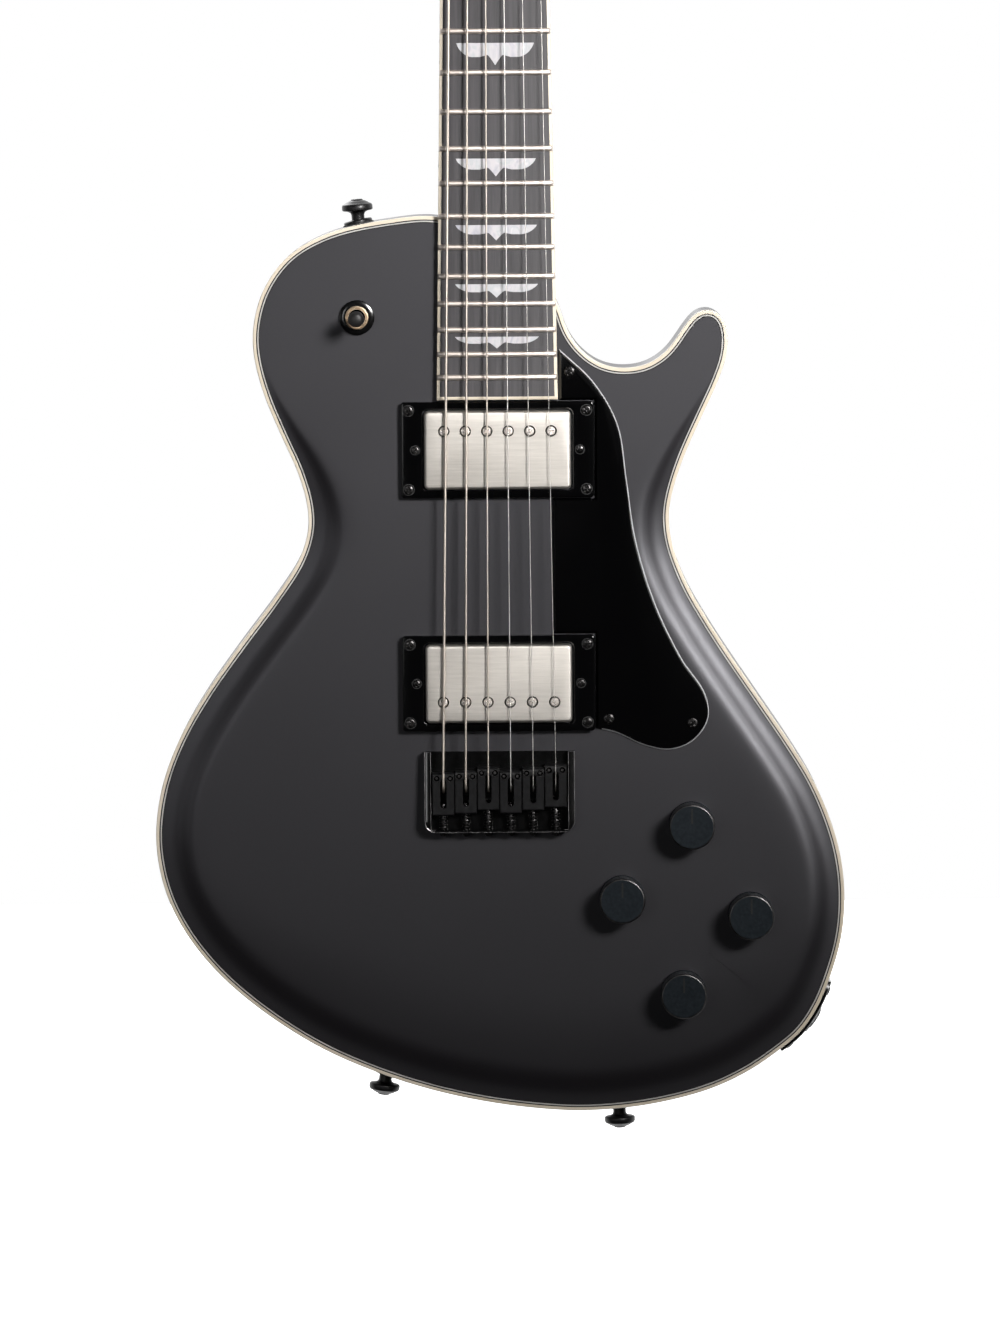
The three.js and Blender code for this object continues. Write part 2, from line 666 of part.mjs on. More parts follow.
{
  const middle = (BRIDGE_FRONT + BRIDGE_REAR) / 2;
  const halfLength = (BRIDGE_FRONT - BRIDGE_REAR) / 2;
  const tray = roundedRectangle(0, middle, BRIDGE_HALF_WIDTH, halfLength, 5.4, 4);
  const square = tray.map((p) => (p.y > middle
    ? new THREE.Vector2(Math.sign(p.x) * Math.min(Math.abs(p.x) + 6, BRIDGE_HALF_WIDTH), p.y)
    : p));
  const frontEdge = square.filter((p) => p.y <= middle);
  const footprint = [
    new THREE.Vector2(BRIDGE_HALF_WIDTH, BRIDGE_FRONT),
    new THREE.Vector2(-BRIDGE_HALF_WIDTH, BRIDGE_FRONT),
    ...frontEdge,
  ];
  const room = roundedRectangle(0, middle + 16.7, BRIDGE_HALF_WIDTH - 3.1, halfLength + 15.4, 3, 4);
  let bridge = solid(slab(footprint, TOP_Y, BRIDGE_WALL_TOP, 0.6));
  bridge = cutFrom(bridge, slab(room, BRIDGE_PLATE_TOP, -70));
  const holes = [];
  const screws = [];
  for (let i = 0; i < 6; i += 1) {
    const x = stringAtBridge(i);
    holes.push(pin(x, STRING_HOLE_Z, STRING_HOLE_RADIUS, TOP_Y + 3, TOP_Y - 4, 8));
    screws.push(rodAlongZ(x, SCREW_Y, 1.1, BRIDGE_REAR - 1, screwEndAt(i), 8));
    screws.push(rodAlongZ(x, SCREW_Y, 1.9, BRIDGE_REAR - 2.3, BRIDGE_REAR + 0.2, 10));
  }
  bridge = cutFrom(bridge, ...holes);
  for (const screw of screws) {
    bridge = bridge.add(solid(screw));
  }
  add('bridge_plate', geometryOf(bridge), 'blackMetal');
}

for (let i = 0; i < 6; i += 1) {
  const x = stringAtBridge(i);
  const front = SADDLE_FRONTS[i];
  const rear = front - SADDLE_LENGTH;
  const crest = STRING_Y_AT_BRIDGE + STRING_RADII[i] + GAP;
  const half = SADDLE_WIDTH / 2;
  const profile = [
    [front, SADDLE_BOTTOM], [front, crest + 1.4], [front - 0.9, crest], [front - 2.6, crest],
    [front - 6.5, -52.3], [rear, -51.7], [rear, SADDLE_BOTTOM],
  ];
  const sides = [-half, half].map((dx) => profile.map(([z, y]) => new THREE.Vector3(x + dx, y, z)));
  const fromSide = (p) => new THREE.Vector2(p.z, p.y);
  let saddle = solid(loft(sides, fromSide));
  saddle = cutFrom(
    saddle,
    block(x - 1.5, x + 1.5, -60, -40, front - 16.7, front - 3),
    rodAlongZ(x, SCREW_Y, 1.5, rear - 2, front - 10, 10),
  );
  for (const dx of [-3.15, 3.15]) {
    saddle = saddle.add(solid(pin(x + dx, front - 2.2, 1.2, SADDLE_BOTTOM - 1, BRIDGE_PLATE_TOP - GAP, 8)));
  }
  add(`saddle_${STRING_NAMES[i]}`, geometryOf(saddle), 'blackMetal');
}

// ------------------------------------------------------------------ controls

KNOB_CENTRES.forEach(([x, z], i) => {
  const knob = cutFrom(
    solid(turned([
      [0, 0], [KNOB_RADIUS - 0.4, 0], [KNOB_RADIUS, 0.4], [KNOB_RADIUS, 15.4],
      [KNOB_RADIUS - 0.6, 16.1], [0, 16.1],
    ], 26).rotateX(Math.PI).translate(x, KNOB_BOTTOM_Y, z)),
    pin(x, z, 7.6, KNOB_BOTTOM_Y + 3, KNOB_BOTTOM_Y - 1.9, 12),
  );
  const shaft = solid(pin(x, z, 3, -31, -50, 8));
  add(`knob_${i + 1}`, geometryOf(knob.add(shaft)), 'slateMetal');
});

{
  const [top, left, right, bottom] = KNOB_CENTRES;
  const reach = 13.5;
  const board = slab([
    new THREE.Vector2(top[0], top[1] + reach),
    new THREE.Vector2(left[0] - reach, left[1]),
    new THREE.Vector2(bottom[0], bottom[1] - reach),
    new THREE.Vector2(right[0] + reach, right[1]),
  ], -25, -27);
  const pots = [];
  const bores = [];
  for (const [x, z] of KNOB_CENTRES) {
    pots.push(pin(x, z, 12, -26, CAVITY_CEILING + GAP, 12));
    pots.push(pin(x, z, 4.6, CAVITY_CEILING + 1, -46.2, 10));
    pots.push(pin(x, z, 6.6, TOP_Y - GAP, -46, 6));
    bores.push(pin(x, z, 3.45, -30, -50, 8));
  }
  add('control_board', geometryOf(cutFrom(join(board, ...pots), ...bores)), 'board');
}

{
  const [x, z] = SWITCH_CENTRE;
  const body = cutFrom(
    join(
      block(x - 13, x + 13, CAVITY_CEILING + GAP, -14, z - 8, z + 8),
      pin(x, z, 5.5, CAVITY_CEILING + 1, -48, 16),
      pin(x, z, 8.2, TOP_Y - GAP, -45.4, 20),
    ),
    pin(x, z, 4.2, -32, -60, 12),
  );
  add('switch_body', geometryOf(body), 'steel');
  const lever = turned([
    [0, -35], [2, -35], [2.4, -36.5], [1.6, -38], [1.6, -55], [2.6, -55.6], [3.7, -63],
    [3.4, -66], [2, -67.6], [0, -68],
  ].map(([r, y]) => [r, -y]), 12);
  add('switch_lever', geometryOf(solid(lever.rotateX(Math.PI).translate(x, 0, z))), 'glossBlack');
}

{
  const { index, point, outward } = jack;
  const stretch = outline.slice(index - 2, index + 3);
  const push = (p, i, amount) => {
    const all = outline.length;
    const along = outline[(index - 1 + i) % all].clone().sub(outline[(index - 3 + i) % all]);
    const away = new THREE.Vector2(along.y, -along.x).normalize();
    return p.clone().addScaledVector(away, amount);
  };
  const inner = stretch.map((p, i) => push(p, i, GAP));
  const outer = stretch.map((p, i) => push(p, i, GAP + JACK_PLATE_THICKNESS)).reverse();
  const plate = slab([...inner, ...outer].reverse(), JACK_Y + JACK_PLATE_HEIGHT / 2,
    JACK_Y - JACK_PLATE_HEIGHT / 2);
  const hole = new THREE.CylinderGeometry(5.2, 5.2, 20, 16);
  add('jack_plate', geometryOf(cutFrom(
    solid(plate),
    outOfSide(hole, point, outward, JACK_Y),
  )), 'blackMetal');

  const face = GAP + JACK_PLATE_THICKNESS + GAP;
  const barrel = new THREE.CylinderGeometry(4.7, 4.7, 12, 16);
  barrel.translate(0, face + 3.2 - 6, 0);
  const nut = new THREE.CylinderGeometry(7.8, 7.8, 2.4, 6);
  nut.translate(0, face + 1.2, 0);
  const sleeve = new THREE.CylinderGeometry(9.4, 9.4, 26, 18);
  sleeve.translate(0, -1.6 - 13, 0);
  const bore = new THREE.CylinderGeometry(3.25, 3.25, 80, 14);
  const socket = cutFrom(join(barrel, nut, sleeve), bore);
  add('jack_socket', outOfSide(geometryOf(socket), point, outward, JACK_Y), 'nickel');
}

add('control_cover', slab(coverOutline, -0.2, -COVER_RECESS), 'glossBlack');
add('switch_cover', pin(SWITCH_CENTRE[0], SWITCH_CENTRE[1], SWITCH_CAVITY_RADIUS + COVER_MARGIN,
  -COVER_RECESS, -0.2, 24), 'glossBlack');

for (const [name, target] of STRAP_BUTTONS) {
  const { point, outward } = edgeNear(target);
  const along = new THREE.Vector2(-outward.y, outward.x);
  const shift = new THREE.Vector2(target[0], target[1]).sub(point).dot(along);
  const base = point.clone().addScaledVector(along, shift);
  const button = turned([
    [0, 0.6], [6.4, 0.6], [6.4, 1.6], [4.4, 2.6], [3, 4], [3, 6.4], [5.4, 7.6], [7.2, 8.2],
    [7.2, 9.6], [5, 11.4], [0, 12],
  ], 14);
  add(name, outOfSide(geometryOf(solid(button)), base, outward, STRAP_BUTTON_Y), 'blackMetal');
}

// -------------------------------------------------------------------- tuners

const TUNERS = [
  [0, -1, 0], [1, -1, 1], [2, -1, 2], [3, 1, 2], [4, 1, 1], [5, 1, 0],
];

for (const [string, side, place] of TUNERS) {
  const name = STRING_NAMES[string];
  const x = side * TUNER_ACROSS[place];
  const s = TUNER_ALONG[place];
  const back = HEADSTOCK_THICKNESS + GAP;

  const rodAlongX = (radius, from, to, sides) => {
    const geometry = new THREE.CylinderGeometry(radius, radius, Math.abs(to - from), sides);
    geometry.rotateZ(Math.PI / 2);
    geometry.translate((from + to) / 2, WORM_DEPTH, s + WORM_OFFSET);
    return geometry;
  };

  const housing = cutFrom(
    join(
      block(x - 9, x + 9, back, back + 9.5, s - 12.5, s + 8),
      pin(x, s, 4.9, back + 1, -1, 10),
      pin(x, s, 6.8, -GAP, -GAP - 1.4, 10),
    ),
    pin(x, s, 3.45, 30, -10, 8),
    pin(x, s, 6.3, 17, 22.2, 12),
    rodAlongX(2.6, x - side * 7.5, x + side * 20, 8),
  );
  add(`tuner_housing_${name}`, geometryOf(housing), 'blackMetal', headstock);

  const post = join(
    pin(x, s, 3, 23.5, -15, 10),
    pin(x, s, 5.6, 17.5, 21.7, 12),
  );
  add(`tuner_post_${name}`, geometryOf(post), 'nickel', headstock);

  const start = TUNER_BUTTON_START[place];
  const grip = new THREE.CylinderGeometry(1, 1, 6.6, 16);
  grip.scale(7.6, 1, 9.6);
  grip.translate(side * (start + 7.4), WORM_DEPTH, s + WORM_OFFSET);
  const key = join(
    rodAlongX(1.9, x - side * 6.8, side * (start + 3), 8),
    grip,
  );
  add(`tuner_button_${name}`, geometryOf(key), 'blackMetal', headstock);
}

// ------------------------------------------------------------------- strings

// A route whose corners are kept: equal steps of the parameter fall on the knots.
class Route extends THREE.Curve {
  constructor(knots) {
    super();
    this.knots = knots;
  }

  getPoint(t, target = new THREE.Vector3()) {
    const reach = t * (this.knots.length - 1);
    const i = Math.min(Math.floor(reach), this.knots.length - 2);
    return target.lerpVectors(this.knots[i], this.knots[i + 1], reach - i);
  }

  getUtoTmapping(u) {
    return u;
  }
}

const eightSides = (radius) => {
  const points = [];
  for (let k = 0; k < 8; k += 1) {
    const angle = (k + 0.5) * Math.PI / 4;
    points.push(new THREE.Vector2(radius * Math.cos(angle), radius * Math.sin(angle)));
  }
  return new THREE.Shape(points);
};

for (const [string, side, place] of TUNERS) {
  const radius = STRING_RADII[string];
  const x = stringAtBridge(string);
  const front = SADDLE_FRONTS[string];
  const nutX = (string - 2.5) * STRING_PITCH_AT_NUT;
  const wrap = new THREE.Vector3(
    side * (TUNER_ACROSS[place] - 3 - radius - GAP),
    -8,
    TUNER_ALONG[place],
  ).applyMatrix4(headstock.matrix);
  const route = new Route([
    new THREE.Vector3(x, -4, STRING_HOLE_Z),
    new THREE.Vector3(x, -44, STRING_HOLE_Z),
    new THREE.Vector3(x, -47.5, STRING_HOLE_Z + 0.6),
    new THREE.Vector3(x, STRING_Y_AT_BRIDGE - 0.1, front - 3.4),
    new THREE.Vector3(x * 0.98 + nutX * 0.02, STRING_Y_AT_BRIDGE + 0.07, front + 12),
    new THREE.Vector3(nutX, STRING_Y_AT_NUT, SCALE_LENGTH + 0.4),
    new THREE.Vector3(nutX, STRING_Y_AT_NUT + 0.35, SCALE_LENGTH + NUT_WIDTH),
    wrap,
  ]);
  const wire = new THREE.ExtrudeGeometry(eightSides(radius), {
    steps: 7,
    extrudePath: route,
    bevelEnabled: false,
  });
  add(`string_${STRING_NAMES[string]}`, geometryOf(solid(wire)), string < 3 ? 'bronze' : 'steel');
}

export default group;
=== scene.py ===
import math

import bmesh
import bpy
import numpy as np
from mathutils import Matrix, Vector


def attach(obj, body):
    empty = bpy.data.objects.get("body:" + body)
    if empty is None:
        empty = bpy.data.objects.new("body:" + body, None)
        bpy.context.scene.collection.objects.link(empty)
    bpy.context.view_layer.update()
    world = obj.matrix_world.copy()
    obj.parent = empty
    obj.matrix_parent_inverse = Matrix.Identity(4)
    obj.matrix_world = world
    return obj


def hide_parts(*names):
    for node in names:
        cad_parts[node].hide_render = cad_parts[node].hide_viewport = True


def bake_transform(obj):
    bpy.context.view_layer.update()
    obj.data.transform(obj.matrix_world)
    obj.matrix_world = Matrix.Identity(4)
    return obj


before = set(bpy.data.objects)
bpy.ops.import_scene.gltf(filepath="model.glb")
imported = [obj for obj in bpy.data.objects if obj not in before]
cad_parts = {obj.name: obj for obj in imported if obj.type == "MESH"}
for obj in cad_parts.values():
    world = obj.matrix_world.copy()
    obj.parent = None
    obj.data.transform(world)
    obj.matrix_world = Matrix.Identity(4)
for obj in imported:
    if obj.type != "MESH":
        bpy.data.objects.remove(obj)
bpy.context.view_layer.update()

MM = 0.001

# ---------------------------------------------------------------- dimensions (mm)
# x runs to the treble side, y out of the back and z up the neck; z = 0 is the scale line at the bridge.

SCALE = 647.7
TOP = -44.0
LIP_DROP = 4.6
BACK_RADIUS = 3.2
BINDING_W = 1.6
BINDING_H = 5.7
BOARD_END = 171.2
BOARD_Y = TOP - 5.5
BOARD_RADIUS = 305.0
BOARD_EDGE = 1.5
HEEL_HALF, NUT_HALF = 28.4, 21.3
HEAD_Y, HEAD_Z, HEAD_THICK = -45.5, 652.0, 14.5
HEAD_TILT = math.radians(10)
MARKED_FRETS = (3, 5, 7, 9, 12, 15, 17, 19, 21)

NAMES = ["e6", "a5", "d4", "g3", "b2", "e1"]
RADII = [0.62, 0.5, 0.38, 0.26, 0.2, 0.16]
STRING_GAP, NUT_GAP = 10.56, 7
STRING_Y = -54.6
HOLE_Z = -14.0
SADDLE_FRONTS = [-4, -3.1, -1.5, -3.1, -1.7, -0.3]
SADDLE_LENGTH = 20
HEIGHT_SCREW_X = 3.15
INTONATION_Y = -49.3

# each tuner: its string, its side and its place along the headstock
TUNERS = [("e6", -1, 0), ("a5", -1, 1), ("d4", -1, 2), ("g3", 1, 2), ("b2", 1, 1), ("e1", 1, 0)]
ALONG = [40, 80, 120]
ACROSS = [23, 25.5, 28]
BUTTON_START = [39, 42, 44]
WORM_Y, WORM_DROP = 19.5, 8

KNOBS = [(90.2, -29.3), (57.4, -64.1), (118, -72.2), (86.2, -109.3)]
KNOB_Y = -44.9
SWITCH = (-65.5, 209.9)
SWITCH_BORE = 5.45
JACK_AT = (145.5, -124.3)
JACK_Y = -21.5
STRAP_Y = -22
STRAPS = [("strap_button_upper", -64.4, 253.6), ("strap_button_lower_left", -54.4, -149.2),
          ("strap_button_lower_right", 56, -165.8)]

TRAY_HALF, TRAY_FRONT, TRAY_REAR = 35.5, 5.6, -32.3
TRAY_CORNER, TRAY_WALL_Y, TRAY_FLOOR_Y = 5.4, -53.0, TOP - 1.6

BODY_OUTLINE = [
    (-28, 256.9), (-50, 255.6), (-78, 249.6), (-97, 239.2), (-108.8, 223.8),
    (-113.9, 207), (-114, 193), (-109.5, 174.5), (-101.8, 155.4), (-93.8, 137),
    (-89.6, 121.5), (-89.3, 110), (-93.6, 96.1), (-104.4, 79.2), (-123.5, 53.8),
    (-138.5, 32.6), (-150.8, 11.4), (-158.9, -9.9), (-162.3, -31.2), (-161.2, -48.3),
    (-156.5, -65.4), (-147.4, -82.6), (-133.5, -99.9), (-114, -117.1), (-87.6, -134.5),
    (-62, -146.4), (-33.8, -155.9), (-5, -162.3), (23, -165.8), (42, -166.4),
    (70.3, -163.7), (98.7, -156.6), (117.7, -147.7), (131, -138.6), (142, -129.3),
    (150.2, -117), (156.4, -101.6), (161.1, -84.5), (162.7, -67.4), (161.6, -50.3),
    (157.6, -33.2), (148.9, -11.6), (138.7, 5.7), (121.3, 31.7), (109.6, 49),
    (98.6, 66.2), (88.9, 83.5), (82.2, 101), (80.4, 112), (80.7, 120.5),
    (83.4, 132), (88.3, 145.8), (95.9, 162.7), (103.6, 179.5), (107.5, 191),
    (108.2, 200), (107, 206.6), (103.6, 211.2), (98.5, 212.7), (93.6, 211.2),
    (90, 207.6), (85.9, 201.9), (81, 195), (74.9, 189.6), (67.6, 186.3),
    (59.1, 185.4), (51.9, 186.4), (44.6, 189.8), (37.4, 196.5), (32.6, 204.4),
    (29.6, 213.5), (22, 228), (8, 242), (-10, 251)]

GUARD_CORNERS = [
    (29.0, 170.8), (45.65, 170.8), (45.65, 124.6), (25.5, 124.6), (25.5, 61.0),
    (45.65, 61.0), (45.65, 16.3)]

GUARD_EDGE = [
    (46.3, 16), (55.2, 13.9), (67.8, 8.1), (80.3, 5.8), (91.2, 9.9), (98.4, 20.2),
    (97.1, 32), (85.9, 49.1), (73.4, 75.6), (64.6, 105.3), (60.6, 133), (56.4, 159.4),
    (45.2, 179.2), (29, 194.8)]

CAVITY = [
    (88, -8), (112, -24), (142, -62), (142, -84), (118, -112), (92, -132),
    (74, -128), (52, -102), (36, -70), (38, -52), (62, -22)]

HEAD_HALF = [
    (21.3, -4), (22, 6), (27, 20), (33.5, 32), (36.4, 46), (37.6, 80),
    (39.2, 115), (41.4, 140), (41, 153), (34, 164), (22, 167.5), (10, 164)]

# height along the neck, depth below the top, and how square the section is
NECK_STATIONS = [
    (172, 17, 14), (246, 17, 14), (254, 17, 9), (262, 17, 5.2), (272, 17, 3.4),
    (285, 17, 2.6), (330, 17, 2.45), (460, 16.4, 2.3), (590, 15.6, 2.2), (618, 15.6, 2.2),
    (628, 16.1, 2.2), (636, 17.1, 2.2), (642, 17.4, 2.2), (648, 16.4, 2.3), (655, 13.2, 2.4)]

# ---------------------------------------------------------------- curves

def spline(knots, count, closed):
    """Centripetal Catmull-Rom through the knots, at equal steps of length."""
    p = np.array(knots, float)
    n = len(p)
    dense = []
    spans = n if closed else n - 1
    for i in range(spans):
        p1, p2 = p[i], p[(i + 1) % n]
        p0 = p[i - 1] if closed or i > 0 else 2 * p1 - p2
        p3 = p[(i + 2) % n] if closed or i + 2 < n else 2 * p2 - p1
        d0, d1, d2 = (max(np.linalg.norm(b - a), 1e-6) ** 0.5 for a, b in ((p0, p1), (p1, p2), (p2, p3)))
        t1 = ((p1 - p0) / d0 - (p2 - p0) / (d0 + d1) + (p2 - p1) / d1) * d1
        t2 = ((p2 - p1) / d1 - (p3 - p1) / (d1 + d2) + (p3 - p2) / d2) * d1
        for t in np.linspace(0, 1, 24, endpoint=False):
            dense.append((2 * t**3 - 3 * t**2 + 1) * p1 + (t**3 - 2 * t**2 + t) * t1
                         + (3 * t**2 - 2 * t**3) * p2 + (t**3 - t**2) * t2)
    dense.append(p[0] if closed else p[-1])
    dense = np.array(dense)
    s = np.r_[0, np.cumsum(np.linalg.norm(np.diff(dense, axis=0), axis=1))]
    at = np.linspace(0, s[-1], count, endpoint=not closed)
    return np.stack([np.interp(at, s, dense[:, k]) for k in range(p.shape[1])], axis=1)

def soften(points, width):
    """A closed line of points, averaged along itself."""
    around = int(width * 3)
    w = np.exp(-0.5 * (np.arange(-around, around + 1) / width) ** 2)
    w /= w.sum()
    return sum(w[k + around] * np.roll(points, k, axis=0) for k in range(-around, around + 1))

def normals_in(points):
    """The inward direction at each point of a counterclockwise outline."""
    t = np.roll(points, -1, axis=0) - np.roll(points, 1, axis=0)
    t /= np.linalg.norm(t, axis=1)[:, None]
    return np.stack([-t[:, 1], t[:, 0]], axis=1)

def inset(points, d):
    """A counterclockwise outline moved inward, with mitred corners; a clockwise one moves outward."""
    points = np.asarray(points, float)
    a = points - np.roll(points, 1, axis=0)
    b = np.roll(points, -1, axis=0) - points
    a /= np.linalg.norm(a, axis=1)[:, None]
    b /= np.linalg.norm(b, axis=1)[:, None]
    na, nb = np.stack([-a[:, 1], a[:, 0]], 1), np.stack([-b[:, 1], b[:, 0]], 1)
    m = na + nb
    m /= np.linalg.norm(m, axis=1)[:, None]
    spread = np.maximum((m * na).sum(1), 0.5)
    d = np.broadcast_to(d, (len(points),))
    return points + m * (d / spread)[:, None]

def rounded_rect(x, z, hw, hh, r, steps=6):
    out = []
    for sx, sz, q in ((1, 1, 0), (-1, 1, 1), (-1, -1, 2), (1, -1, 3)):
        for k in range(steps + 1):
            a = (q + k / steps) * math.pi / 2
            out.append((x + sx * (hw - r) + r * math.cos(a), z + sz * (hh - r) + r * math.sin(a)))
    return np.array(out)

def round_line(r, count):
    a = np.linspace(0, math.tau, count, endpoint=False)
    return np.stack([r * np.cos(a), r * np.sin(a)], 1)

def smoothstep(a, b, x):
    t = np.clip((np.asarray(x, float) - a) / (b - a), 0, 1)
    return t * t * (3 - 2 * t)

def quarter(count):
    """Angles over a quarter turn."""
    return np.linspace(0, math.pi / 2, count)

# ---------------------------------------------------------------- mesh building

def flat(points, y):
    """An outline laid parallel to the front at depth y."""
    points = np.asarray(points, float)
    return np.stack([points[:, 0], np.broadcast_to(y, (len(points),)), points[:, 1]], 1)

def lift(points, h):
    """An outline laid across local +Z at height h."""
    return np.stack([points[:, 0], points[:, 1], np.full(len(points), h)], 1)

def skin(rings, loop=False):
    """Faces through rings of equal count, closed by an end face at each end."""
    n = len(rings[0])
    faces = []
    for r in range(len(rings) if loop else len(rings) - 1):
        a, b = r * n, ((r + 1) % len(rings)) * n
        faces += [(a + i, a + (i + 1) % n, b + (i + 1) % n, b + i) for i in range(n)]
    if not loop:
        last = (len(rings) - 1) * n
        faces += [tuple(range(n))[::-1], tuple(last + i for i in range(n))]
    return np.vstack(rings), faces

def lathe(profile, n=40):
    """A turned piece about +Z, from a profile of radius and height."""
    v, f, rows = [], [], []
    for r, h in profile:
        if r < 1e-6:
            rows.append([len(v)])
            v.append((0, 0, h))
        else:
            rows.append([len(v) + i for i in range(n)])
            v += [(r * math.cos(i * math.tau / n), r * math.sin(i * math.tau / n), h) for i in range(n)]
    for a, b in zip(rows, rows[1:]):
        for i in range(n):
            j = (i + 1) % n
            if len(a) == 1 and len(b) > 1:
                f.append((a[0], b[j], b[i]))
            elif len(b) == 1 and len(a) > 1:
                f.append((a[i], a[j], b[0]))
            elif len(a) > 1:
                f.append((a[i], a[j], b[j], b[i]))
    return np.array(v, float), f

def tube(path, radius, n=14):
    """A round rod along a path."""
    path = np.asarray(path, float)
    t = np.gradient(path, axis=0)
    t /= np.linalg.norm(t, axis=1)[:, None]
    up = np.array([0, 0, 1.0]) if abs(t[0, 2]) < 0.8 else np.array([1.0, 0, 0])
    u = np.cross(t[0], up)
    rings = []
    for p, d in zip(path, t):
        u = u - d * u.dot(d)
        u /= np.linalg.norm(u)
        w = np.cross(d, u)
        a = np.arange(n) * math.tau / n
        rings.append(p + radius * (np.cos(a)[:, None] * u + np.sin(a)[:, None] * w))
    return skin(rings)

def aim(at, along, turn=0.0):
    """Matrix that puts local +Z along a direction at a point, turned about it."""
    q = Vector(along).to_track_quat("Z", "Y")
    return Matrix.Translation(Vector(at)) @ q.to_matrix().to_4x4() @ Matrix.Rotation(turn, 4, "Z")

FRONT = (0, -1, 0)
BACK = (0, 1, 0)
UP = (0, 0, 1)
DOWN = (0, 0, -1)
HEAD = Matrix.Translation((0, HEAD_Y, HEAD_Z)) @ Matrix.Rotation(-HEAD_TILT, 4, "X")

class Shape:
    """Mesh pieces gathered in millimetres, made into one object."""

    def __init__(self):
        self.v, self.f, self.m, self.count = [], [], [], 0

    def add(self, part, matrix=None, mat=0):
        v, f = part
        v = np.asarray(v, float)
        if matrix is not None:
            m = np.array(matrix)
            v = v @ m[:3, :3].T + m[:3, 3]
        self.v.append(v)
        self.f += [tuple(int(i) + self.count for i in face) for face in f]
        self.m += [mat] * len(f)
        self.count += len(v)
        return self

    def link(self, name, mats=(), sharp=None):
        """The object, with edges flatter than the sharp angle shaded smooth."""
        mesh = bpy.data.meshes.new(name)
        mesh.from_pydata((np.vstack(self.v) * MM).tolist(), [], self.f)
        for i, k in enumerate(self.m):
            mesh.polygons[i].material_index = k
        for m in mats:
            mesh.materials.append(m)
        bm = bmesh.new()
        bm.from_mesh(mesh)
        bmesh.ops.recalc_face_normals(bm, faces=bm.faces)
        if sharp is not None:
            limit = math.radians(sharp)
            for e in bm.edges:
                e.smooth = len(e.link_faces) != 2 or e.calc_face_angle(0) < limit
            for f in bm.faces:
                f.smooth = True
        bm.to_mesh(mesh)
        bm.free()
        o = bpy.data.objects.new(name, mesh)
        bpy.context.scene.collection.objects.link(o)
        return o

    def make(self, name, mats, body="guitar", replaces=(), slot=None, sharp=40):
        o = self.link(name, mats, sharp)
        bpy.context.view_layer.update()
        if replaces:
            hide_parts(*replaces)
        if body:
            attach(o, body)
        return o

def one(part, *args, matrix=None, **kw):
    return Shape().add(part, matrix).make(*args, **kw)

def cutter(part, matrix=None):
    return Shape().add(part, matrix).link("cutter")

def carve_out(target, *cuts):
    for c in cuts:
        b = target.modifiers.new("cut", "BOOLEAN")
        b.operation, b.object, b.solver = "DIFFERENCE", c, "EXACT"
        with bpy.context.temp_override(object=target, active_object=target):
            bpy.ops.object.modifier_apply(modifier=b.name)
        bpy.data.objects.remove(c)

def slab(outline, back, front, radius=0.6, steps=4):
    """A flat piece parallel to the front whose front edge is rounded."""
    rings = [flat(outline, back)]
    sign = 1 if front < back else -1
    for k in range(steps + 1):
        a = k / steps * math.pi / 2
        rings.append(flat(inset(outline, radius * (1 - math.cos(a))), front + sign * radius * (1 - math.sin(a))))
    return skin(rings)

def frame_slab(outer, inner, back, front, radius=0.8, steps=4):
    """A flat frame: outer and inner outlines of the same count."""
    soft = 0.4 * radius
    rings = [flat(outer, back)]
    for k in range(steps + 1):
        a = k / steps * math.pi / 2
        rings.append(flat(inset(outer, radius * (1 - math.cos(a))), front + radius * (1 - math.sin(a))))
    for k in range(steps + 1):
        a = (1 - k / steps) * math.pi / 2
        rings.append(flat(inset(inner, -soft * (1 - math.cos(a))), front + soft * (1 - math.sin(a))))
    rings.append(flat(inner, back))
    return skin(rings, loop=True)

def head(radius, height, kind="cross", dome=0.35, n=48, rows=20):
    """A screw head about +Z with its drive recess: a cross or a hexagon."""
    def height_at(x, y):
        r = math.hypot(x, y)
        h = height * (1 - dome * r**2) if r < 0.86 else height * (1 - dome * 0.74 - (r - 0.86) * 3.6)
        if kind == "cross":
            arm = min(max(abs(x) - 0.13, abs(y) - 0.62), max(abs(y) - 0.13, abs(x) - 0.62))
        else:
            sides = (0, math.pi / 3, -math.pi / 3)
            arm = max(abs(x * math.cos(a) + y * math.sin(a)) for a in sides) - 0.42
        return h - height * 0.8 * float(smoothstep(0.05, -0.05, arm))
    v = [(0, 0, height_at(0, 0))]
    for q in np.linspace(0, 1, rows + 1)[1:]:
        for i in range(n):
            x, y = q * math.cos(i * math.tau / n), q * math.sin(i * math.tau / n)
            v.append((x * radius, y * radius, max(height_at(x, y), 0)))
    f = [(0, 1 + i, 1 + (i + 1) % n) for i in range(n)]
    for k in range(rows - 1):
        a, b = 1 + k * n, 1 + (k + 1) * n
        f += [(a + i, b + i, b + (i + 1) % n, a + (i + 1) % n) for i in range(n)]
    base = len(v)
    v += [(radius * math.cos(i * math.tau / n), radius * math.sin(i * math.tau / n), -0.6) for i in range(n)]
    a = 1 + (rows - 1) * n
    f += [(a + i, base + i, base + (i + 1) % n, a + (i + 1) % n) for i in range(n)]
    f.append(tuple(base + i for i in range(n))[::-1])
    return np.array(v, float), f

# ---------------------------------------------------------------- materials

NOISE = "ShaderNodeTexNoise"

def shader_of(m):
    return m.node_tree.nodes["Principled BSDF"]

